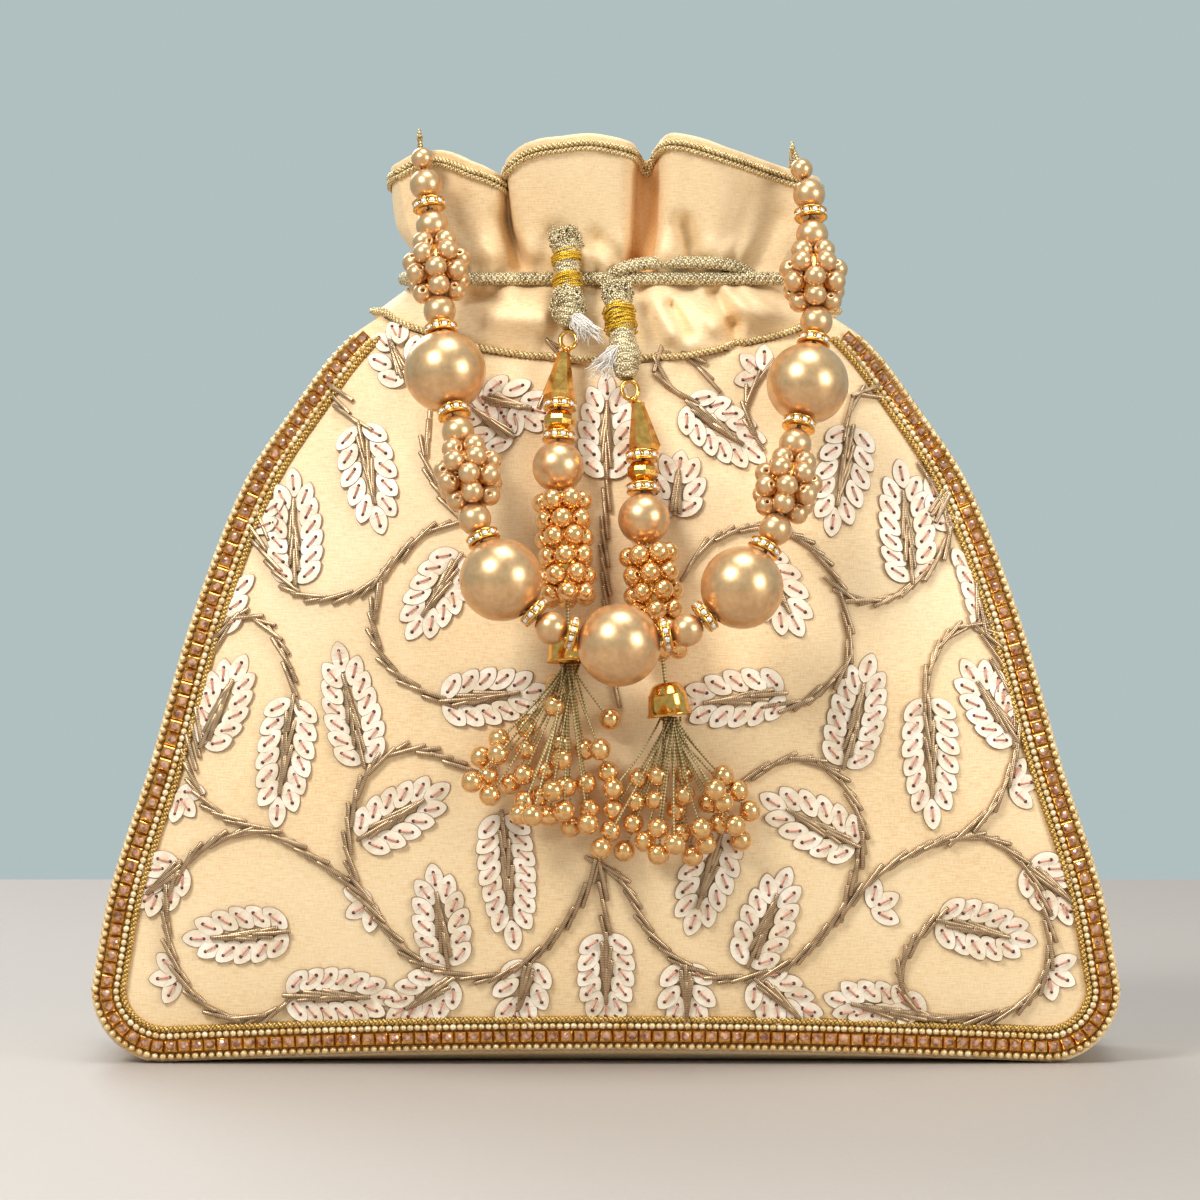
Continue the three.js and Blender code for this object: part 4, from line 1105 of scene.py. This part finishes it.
def add_embroidery():
    coils = Heap()
    sequins = [Heap(), Heap(), Heap()]
    for stations in VINES:
        add_vine(coils, stations)
    for base, tip in LEAVES:
        add_leaf(coils, sequins, base, tip)
    for base, tip in SPRIGS:
        start, end = np.array(photo(*base)), np.array(photo(*tip))
        ahead = unit(end - start)
        for degrees in (-52, 0, 52):
            direction = np.array(turned_by(ahead, degrees))
            lay_sequin(sequins, *(start + 3.9 * direction), direction, 0)
    add_heap("embroidery_coils", coils, [COIL], "bag")
    # The sequins' side walls carry the painted edge shadow.
    add_heap("embroidery_sequins", sequins[0], [SEQUIN, SEQUIN_EDGE_SHADE], "bag", is_flat=True)
    add_heap("embroidery_stitches", sequins[1], [STITCH], "bag")
    # Knots coloured as painted shade in the sequin holes.
    add_heap("embroidery_hole_shade_knots", sequins[2], [KNOT_HOLE_SHADE], "bag")


add_embroidery()


# Drawstring: a knitted metal cord round the neck, and its end beside it that tucks in at the right
CORD_RADIUS = 1.75


def add_knit(name, line, node, is_ring=False):
    cord = Heap()
    cord.add(tube(line, 0.72 * CORD_RADIUS, 8, is_ring))
    for hand in (-1, 1):
        wound(cord, line, CORD_RADIUS - 0.42, 5.5, 4, 0.42, 4, is_ring=is_ring, hand=hand)
    return add_heap(name, cord, [METAL_CORD], "bag", [node])


def cord_point(around, height, stand):
    return wall_point(np.asarray(around, float), height, -stand)


def add_drawstring():
    around = np.arange(28) / 28
    side, _ = wall_place(around)
    run = cord_point(around, CORD_HEIGHT, 2.3 + np.abs(side) ** 4)
    closed = np.concatenate([run[-2:], run, run[:3]])
    smooth = curve(closed, 12 * (len(closed) - 1) + 1)
    add_knit("drawstring_knit", evenly(smooth[24:-24], 260)[:-1], "drawstring", True)
    places = np.array([0.5, 0.545, 0.62, 0.72, 0.82, 0.88, 0.925]) * 24 / 56
    rises = np.array([-0.5, 2.4, 3.7, 3.9, 3.6, 2.2, -0.5])
    stands = np.array([2.6, 3.4, 3.0, 3.0, 3.0, 2.2, 0.2])
    tuck = np.array([
        cord_point(place, CORD_HEIGHT + rise, stand) for place, rise, stand in zip(places, rises, stands)
    ])
    add_knit("drawstring_end_knit", curve(tuck, 60), "drawstring_end")


add_drawstring()


# Beads
def centre(node):
    low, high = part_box(node)
    return (np.array(low) + np.array(high)) / 2 / MM


LARGE, SMALL, END, TASSEL_PEARL = 9.8, 3.9, 2.7, 6.2
BEAD_GAP = 0.3
RONDELLE_THICKNESS = 2.3
PEARLS = {
    "large": bored(LARGE, 1.5, 48, 30), "small": bored(SMALL, 0.9, 28, 18), "end": bored(END, 0.8, 22, 14),
}
WOVEN = bored(2.62, 0.6, 16, 10)
RIM = turned([(1.0, -0.32), (3.75, -0.32), (4.0, -0.15), (4.0, 0.15), (3.75, 0.32), (1.0, 0.32)], 30, True)
HUB = turned([(1.0, -0.8), (2.9, -0.8), (2.9, 0.8), (1.0, 0.8)], 16, True)
FACET = turned([(0.4, 0.5), (0.98, 0.1), (1.0, -0.5)], 4)
BAR = turned([(0.2, -0.75), (0.3, 0), (0.2, 0.75)], 6)


def add_rondelle(heap, at, axis):
    frame_ = placed(at, axis)
    across, up, along = frame_[:3, 0], frame_[:3, 1], frame_[:3, 2]
    for end in (-0.83, 0.83):
        heap.add(RIM, placed(at + end * along, along), 0)
    heap.add(HUB, frame_, 0)
    for i in range(10):
        turn = 2 * math.pi * i / 10
        out = math.cos(turn) * across + math.sin(turn) * up
        heap.add(FACET, placed(at + 3.45 * out, out, along + np.cross(out, along)), 1)
        turn += math.pi / 10
        out = math.cos(turn) * across + math.sin(turn) * up
        heap.add(BAR, placed(at + 3.55 * out, along), 0)


def add_woven(heap, at, axis, rings, core, size=1.0):
    """rings are (count, radius, height)."""
    frame_ = placed(at, axis)
    across, up, along = frame_[:3, 0], frame_[:3, 1], frame_[:3, 2]
    heap.add(core, frame_, 1)
    for row, (count, radius, height) in enumerate(rings):
        for i in range(count):
            turn = 2 * math.pi * (i + (row % 2) / 2) / count + chance.uniform(-0.05, 0.05)
            out = math.cos(turn) * across + math.sin(turn) * up
            tilt = along * chance.uniform(-0.5, 0.5) + np.cross(along, out)
            place = at + (radius - chance.uniform(0, 0.2)) * out
            place = place + (height + chance.uniform(-0.2, 0.2)) * along
            heap.add(WOVEN, placed(place, tilt, out, (size, size, size)))


BALL_RINGS = [(4, 3.9, -6.1), (6, 5.7, -2.2), (6, 5.7, 2.2), (4, 3.9, 6.1)]
BALL_CORE = turned([(1.4, -6.5), (3.2, -5), (4.2, 0), (3.2, 5), (1.4, 6.5)], 14)
COLUMN_RINGS = [(6, 4.9, -11.3 + 4.52 * row) for row in range(6)]
COLUMN_BEAD = 0.95  # of the woven balls' beads
COLUMN_SET_BACK = 0.6
COLUMN_CORE = turned([(1.5, -13), (3.9, -11), (3.9, 11), (1.5, 13)], 14)
HALF_ORDER = [
    "rondelle", "small", "rondelle", "large", "rondelle", "small", "cluster", "small", "rondelle",
    "large", "rondelle", "small", "cluster", "small", "rondelle", "small", "end",
]
HALF_LENGTH = {"large": LARGE, "small": SMALL, "end": END, "cluster": 7.3}
# Where the strand hangs from each loop, on the handle's axis
STRAND_ENDS = {"left": (-45, -15.5, 223.6), "right": (45, -15.5, 220.6)}
STRAND_EYE = [
    (0, 1.1 * math.cos(2 * math.pi * i / 16), 1.1 * math.sin(2 * math.pi * i / 16)) for i in range(16)
]


def add_handle():
    middle = centre("handle_pearl_middle")
    strand = {}
    for hand in ("left", "right"):
        beads = [("large", middle, "handle_pearl_middle", -1)]
        beads += [
            (kind, centre(f"handle_{hand}_{kind}_{i}"), f"handle_{hand}_{kind}_{i}", i)
            for i, kind in enumerate(HALF_ORDER) if kind != "rondelle"
        ]
        strand[hand] = beads
    rondelles = Heap()
    for hand, beads in strand.items():
        other = strand["left" if hand == "right" else "right"][1][1]
        for k, (kind, at, node, i) in enumerate(beads):
            before = beads[k - 1][1] if k else other
            after = beads[k + 1][1] if k + 1 < len(beads) else at + (at - before)
            axis = unit(after - before)
            if k or hand == "left":
                heap = Heap()
                if kind == "cluster":
                    add_woven(heap, at, axis, BALL_RINGS, BALL_CORE)
                    add_heap(node + "_woven", heap, [PEARL, GOLD], "handle", [node])
                else:
                    heap.add(PEARLS[kind], placed(at, axis))
                    add_heap(node + "_pearl", heap, [PEARL], "handle", [node])
            if k + 1 < len(beads) and beads[k + 1][3] == i + 2:
                ahead = unit(after - at)
                stop = at + ahead * (HALF_LENGTH[kind] + BEAD_GAP + RONDELLE_THICKNESS / 2)
                add_rondelle(rondelles, stop, ahead)
    line = [bead[1] for bead in reversed(strand["left"])] + [bead[1] for bead in strand["right"][1:]]
    line = [np.array(STRAND_ENDS["left"], float), *line, np.array(STRAND_ENDS["right"], float)]
    rondelles.add(tube(curve(line, 160), 0.5, 6), mark=2)
    for end in STRAND_ENDS.values():
        rondelles.add(tube(np.array(STRAND_EYE) + end, 0.45, 6, True), mark=2)
    materials = [GOLD, CRYSTAL, TASSEL_THREAD]
    add_heap("handle_rondelles", rondelles, materials, "handle", ["handle_strand"])


add_handle()


def add_loops():
    for hand, (x, y, z) in STRAND_ENDS.items():
        hem = float(hem_height(x / MOUTH_HALF_WIDTH))
        line = curve([
            (x, -6.9, hem - 12), (x, -7.3, hem - 4), (x, -8.4, hem + 0.6), (x, -10.6, hem + 1.4),
            (x, -13.2, z - 0.8), (x, y, z),
        ], 50)
        loop = Heap()
        wound(loop, line, 0.38, 2.2, 3, 0.4, 6)
        node = f"{hand}_handle_loop"
        add_heap(node + "_twist", loop, [METAL_CORD], "bag", [node])


add_loops()


# Tassels
CONE = turned([(0.9, -6.3), (1.75, -5.7), (1.6, -5.0), (3.7, 4.4), (3.9, 5.2), (3.2, 6.3), (1.0, 6.3)], 6)
FACETED_HALF = 2.5
FACETED = turned([
    (1.3, -FACETED_HALF), (2.5, -2.4), (3.8, -0.9), (3.9, 0.1), (3.6, 1.2), (2.3, 2.4), (1.3, FACETED_HALF),
], 9)
CAP = turned([
    (1.3, 0), (2.6, 0.1), (3.6, 0.9), (4.4, 2.6), (4.7, 2.9), (4.6, 3.3), (4.9, 5.0), (5.2, 7.2), (5.5, 7.5),
    (5.4, 8.0), (5.0, 7.9), (4.5, 5.0), (4.1, 3.2), (3.2, 1.5), (1.3, 0.6),
], 36, True)
HOOK_LINE = [
    (1.9 * math.sin(2 * math.pi * i / 40), 0, -2.3 * math.cos(2 * math.pi * i / 40)) for i in range(40)
]
FRINGE_BEAD = bored(2.6, 0.75, 18, 12)
FRINGE_SPACING = 5.3  # at least, between two beads' middles
LEFT_BEADS = [
    (556, 686), (568, 704), (555, 706), (610, 720), (527, 728), (500, 740), (527, 750), (499, 754),
    (482, 758), (561, 743), (562, 759), (585, 750), (600, 749), (489, 776), (473, 781), (511, 784),
    (524, 774), (546, 771), (491, 794), (608, 772), (586, 783), (566, 786), (553, 789), (540, 796),
    (525, 800), (521, 812), (533, 812), (549, 815), (564, 809), (589, 808), (571, 826), (588, 822),
]
RIGHT_BEADS = [
    (639, 778), (658, 775), (636, 801), (656, 799), (613, 809), (610, 830), (601, 846), (624, 850),
    (633, 823), (645, 840), (658, 826), (658, 852), (676, 810), (681, 832), (674, 841), (692, 855),
    (705, 842), (708, 802), (722, 801), (737, 791), (722, 776), (714, 788), (749, 811), (719, 823),
    (734, 824), (740, 840), (683, 774), (684, 794), (700, 826), (613, 788),
]


def bent(start, bow, end, count):
    t = np.linspace(0, 1, count)[:, None]
    return (1 - t) ** 2 * start + 2 * t * (1 - t) * bow + t * t * end


def tangle(heap, at, axis, reach, count, size, mark=0):
    """Loose loops of thread on a rounded knot: reach is its half width and half length."""
    place = placed(at, axis)
    for _ in range(count):
        turn, rise = chance.uniform(0, 2 * math.pi), chance.uniform(-1, 1)
        wide = math.sqrt(1 - rise * rise)
        out = wide * (math.cos(turn) * place[:3, 0] + math.sin(turn) * place[:3, 1]) + rise * place[:3, 2]
        middle = at + reach[0] * wide * unit(out - np.dot(out, place[:3, 2]) * place[:3, 2] + 1e-6)
        middle = middle + reach[1] * rise * place[:3, 2]
        loop = placed(middle, out + 0.5 * np.array([chance.uniform(-1, 1) for _ in range(3)]))
        long, wave = size * chance.uniform(0.8, 1.3), chance.uniform(0, 6)
        ring = [
            loop[:3, 3] + long * (math.cos(a) * loop[:3, 0] + 0.6 * math.sin(a) * loop[:3, 1])
            + 0.3 * math.sin(2 * a + wave) * loop[:3, 2]
            for a in (2 * math.pi * i / 14 for i in range(14))
        ]
        heap.add(tube(ring, 0.27, 4, True), mark=mark)


WRAPS = {
    "left": {
        "foot": (-8.8, -28, 177), "top": (-9.8, -18.5, 200), "bands": ((0.37, 0.57), (0.67, 0.78)),
        "knot": (3.9, 4.3), "white": 0.1, "fall": 1,
    },
    "right": {
        "foot": (5, -33.7, 165), "top": (2.5, -23.4, 187), "bands": ((0.47, 0.8),),
        "knot": (2.9, 3.6), "white": 0.3, "fall": -1,
    },
}


# Share of the way up, and half width
WRAP_BODY = [
    (0, 1.2), (0.08, 2.8), (0.24, 3.8), (0.4, 2.9), (0.5, 2.8), (0.62, 2.9), (0.72, 2.7), (0.86, 2.9),
    (1, 1.6),
]


def add_wrap(hand):
    """The cord's end: a frayed head, bands of gold thread and a knitted knot with loose white threads."""
    node = f"{hand}_cord_wrap"
    wrap = WRAPS[hand]
    foot, top = np.array(wrap["foot"], float), np.array(wrap["top"], float)
    ahead = unit(top - foot)
    heap = Heap()
    line = np.linspace(foot, top, 60)
    share = np.linspace(0, 1, 60)
    body = np.interp(share, *zip(*WRAP_BODY))
    heap.add(tube(line, body, 14), mark=0)
    for side in (-1, 1):
        wound(heap, line, body + 0.1, 7, 4, 0.42, 5, mark=0, hand=side)
    knot_width, knot_height = wrap["knot"]
    tangle(heap, foot + (knot_height + 2.0) * ahead, ahead, wrap["knot"], 80, 1.3)
    tangle(heap, top - 2.0 * ahead, ahead, (3.3, 2.8), 60, 1.45)
    for low, high in wrap["bands"]:
        middle = foot + (top - foot) * (low + high) / 2
        half = (high - low) / 2 * np.linalg.norm(top - foot)
        for layer in range(7):
            lean = unit(ahead + 0.22 * np.array([chance.uniform(-1, 1), chance.uniform(-1, 1), 0]))
            band = middle + np.linspace(-half, half, 24)[:, None] * lean * chance.uniform(0.75, 1.0)
            wound(heap, band, 3.15 + 0.1 * layer, chance.uniform(1.0, 1.9), 1, 0.19, 5, mark=1)
    for _ in range(34):
        turn = chance.uniform(0, 2 * math.pi)
        out = np.array([math.cos(turn), 0.45 * math.sin(turn), 0.2 * math.sin(turn)])
        start = top + 2.2 * out - 1.5 * ahead
        end = start + ahead * chance.uniform(0.5, 4.0) + out * chance.uniform(0.5, 2.4)
        heap.add(tube(bent(start, start + 1.5 * ahead + out, end, 6), 0.25, 4), mark=0)
    side = wrap["fall"]
    tuft = foot + wrap["white"] * (top - foot) + np.array([side * 1.6, -knot_width + 0.6, 0])
    for _ in range(150):
        fall = np.array([
            side * chance.uniform(0.1, 1.3), -0.1 - chance.random() * 0.4, -chance.uniform(0.5, 1.2),
        ])
        start = tuft + 2.0 * (np.array([chance.random() for _ in range(3)]) - 0.5)
        end = start + fall * chance.uniform(1.5, 6.0)
        bow = start + np.array([side * chance.uniform(-1, 3), -1, chance.uniform(-2.5, 1.5)])
        heap.add(tube(bent(start, bow, end, 7), 0.14, 4), mark=2)
    add_heap(f"{node}_thread", heap, [METAL_CORD, GOLD_THREAD, WHITE_THREAD], "bag", [node])


def add_tassel(hand, beads):
    body = f"{hand}_tassel"
    names = ["hook", "cone", "faceted", "tassel_pearl", "column", "bell_cap"]
    at = {name: centre(f"{hand}_{name}") for name in names}
    axis = {
        "hook": unit(at["cone"] - at["hook"]), "cone": unit(at["faceted"] - at["hook"]),
        "faceted": unit(at["tassel_pearl"] - at["cone"]), "tassel_pearl": unit(at["column"] - at["faceted"]),
        "column": unit(at["bell_cap"] - at["tassel_pearl"]), "bell_cap": unit(at["bell_cap"] - at["column"]),
    }

    def add(name, form, material, is_flat=False, offset=0.0):
        heap = Heap()
        heap.add(form, placed(at[name] + offset * axis[name], axis[name]))
        add_heap(f"{hand}_{name}_detail", heap, [material], body, [f"{hand}_{name}"], is_flat)

    hook = Heap()
    hook.add(tube(HOOK_LINE, 0.55, 8, True), placed(at["hook"], axis["hook"]))
    collar = turned([(0.5, -0.5), (1.1, -0.5), (1.1, 0.5), (0.5, 0.5)], 16, True)
    hook.add(collar, placed(at["hook"] + 2.6 * axis["hook"], axis["hook"]))
    add_heap(f"{hand}_hook_detail", hook, [GOLD], body, [f"{hand}_hook"])
    add("cone", CONE, GOLD, True)
    add("faceted", FACETED, GOLD, True)
    add("tassel_pearl", bored(TASSEL_PEARL, 1.0, 36, 24), PEARL)
    add("bell_cap", CAP, GOLD, offset=-4)
    column = Heap()
    middle = at["column"] + np.array([0, COLUMN_SET_BACK, 0])
    add_woven(column, middle, axis["column"], COLUMN_RINGS, COLUMN_CORE, COLUMN_BEAD)
    add_heap(f"{hand}_column_woven", column, [COPPER, GOLD], body, [f"{hand}_column"])

    fringe = Heap()
    for end in (-1, 1):
        stop = at["faceted"] + end * (FACETED_HALF + BEAD_GAP + RONDELLE_THICKNESS / 2) * axis["faceted"]
        add_rondelle(fringe, stop, axis["faceted"])
    mouth = at["bell_cap"] + 3.2 * axis["bell_cap"]
    strand = [at["cone"] + 6.2 * axis["cone"], *(at[name] for name in names[2:]), mouth]
    fringe.add(tube(curve(strand, 60), 0.5, 6), mark=2)
    laid = []
    for px, py in beads:
        x, z = photo(px, py)
        place, _ = on_panel(x, z, 3.6)
        while any(np.linalg.norm(place - other) < FRINGE_SPACING for other in laid):
            place = place + np.array([0, -0.4, 0])
        laid.append(place)
        bow = np.array([
            0.5 * (x + mouth[0]), 0.5 * (place[1] + mouth[1]) - 1.0, 0.6 * z + 0.4 * mouth[2],
        ])
        start = mouth + np.array([chance.uniform(-2.6, 2.6), chance.uniform(-2.6, 2.6), -1])
        hang = bent(start, bow, place, 9)
        fringe.add(tube(hang, 0.26, 4), mark=2)
        tilt = hang[-1] - hang[-2] + np.array([0, -0.2 * chance.random(), 0])
        fringe.add(FRINGE_BEAD, placed(place, tilt), 3)
    materials = [GOLD, CRYSTAL, TASSEL_THREAD, COPPER]
    add_heap(f"{hand}_fringe_beads", fringe, materials, body, [f"{hand}_fringe"])


add_wrap("left")
add_wrap("right")
add_tassel("left", LEFT_BEADS)
add_tassel("right", RIGHT_BEADS)


# Stage: a pale table top, a plain pale background and soft studio light
bpy.context.scene.view_settings.view_transform = "Standard"
BACKGROUND = rgb(176, 192, 193)


def add_floor():
    mesh = bpy.data.meshes.new("table_top")
    mesh.from_pydata([(-2, -2.4, 0), (2, -2.4, 0), (2, 0.59, 0), (-2, 0.59, 0)], [], [[0, 1, 2, 3]])
    mesh.materials.append(FLOOR)
    floor = bpy.data.objects.new("table_top", mesh)
    bpy.context.collection.objects.link(floor)


def add_world(strength):
    world = bpy.data.worlds.new("studio")
    world.use_nodes = True
    bpy.context.scene.world = world
    nodes, links = world.node_tree.nodes, world.node_tree.links
    light = nodes["Background"]
    light.inputs["Color"].default_value = rgb(238, 240, 242)
    light.inputs["Strength"].default_value = strength
    shown = nodes.new("ShaderNodeBackground")
    shown.inputs["Color"].default_value = BACKGROUND
    paths = nodes.new("ShaderNodeLightPath")
    mix = nodes.new("ShaderNodeMixShader")
    shows = paths.outputs["Is Camera Ray"]
    for ray in ("Is Glossy Ray", "Is Transmission Ray"):
        either = nodes.new("ShaderNodeMath")
        either.operation = "MAXIMUM"
        links.new(shows, either.inputs[0])
        links.new(paths.outputs[ray], either.inputs[1])
        shows = either.outputs[0]
    links.new(shows, mix.inputs["Fac"])
    links.new(light.outputs[0], mix.inputs[1])
    links.new(shown.outputs[0], mix.inputs[2])
    links.new(mix.outputs[0], nodes["World Output"].inputs["Surface"])


def add_lamp(name, place, size, power, colour=(1, 1, 1)):
    lamp = bpy.data.lights.new(name, "AREA")
    lamp.size = size
    lamp.energy = power
    lamp.color = colour
    holder = bpy.data.objects.new(name, lamp)
    bpy.context.collection.objects.link(holder)
    holder.location = place
    aim = Vector((0, -0.02, 0.11)) - Vector(place)
    holder.rotation_euler = aim.to_track_quat("-Z", "Y").to_euler()


add_floor()
add_world(0.38)
add_lamp("key", (-0.75, -1.0, 1.15), 0.5, 19, (1, 0.985, 0.965))
add_lamp("top", (0.1, -0.15, 1.3), 0.6, 8)
add_lamp("fill", (1.1, -0.9, 0.5), 0.6, 9, (1, 0.99, 0.97))
add_lamp("back", (-0.5, 1.2, 0.9), 0.8, 9)
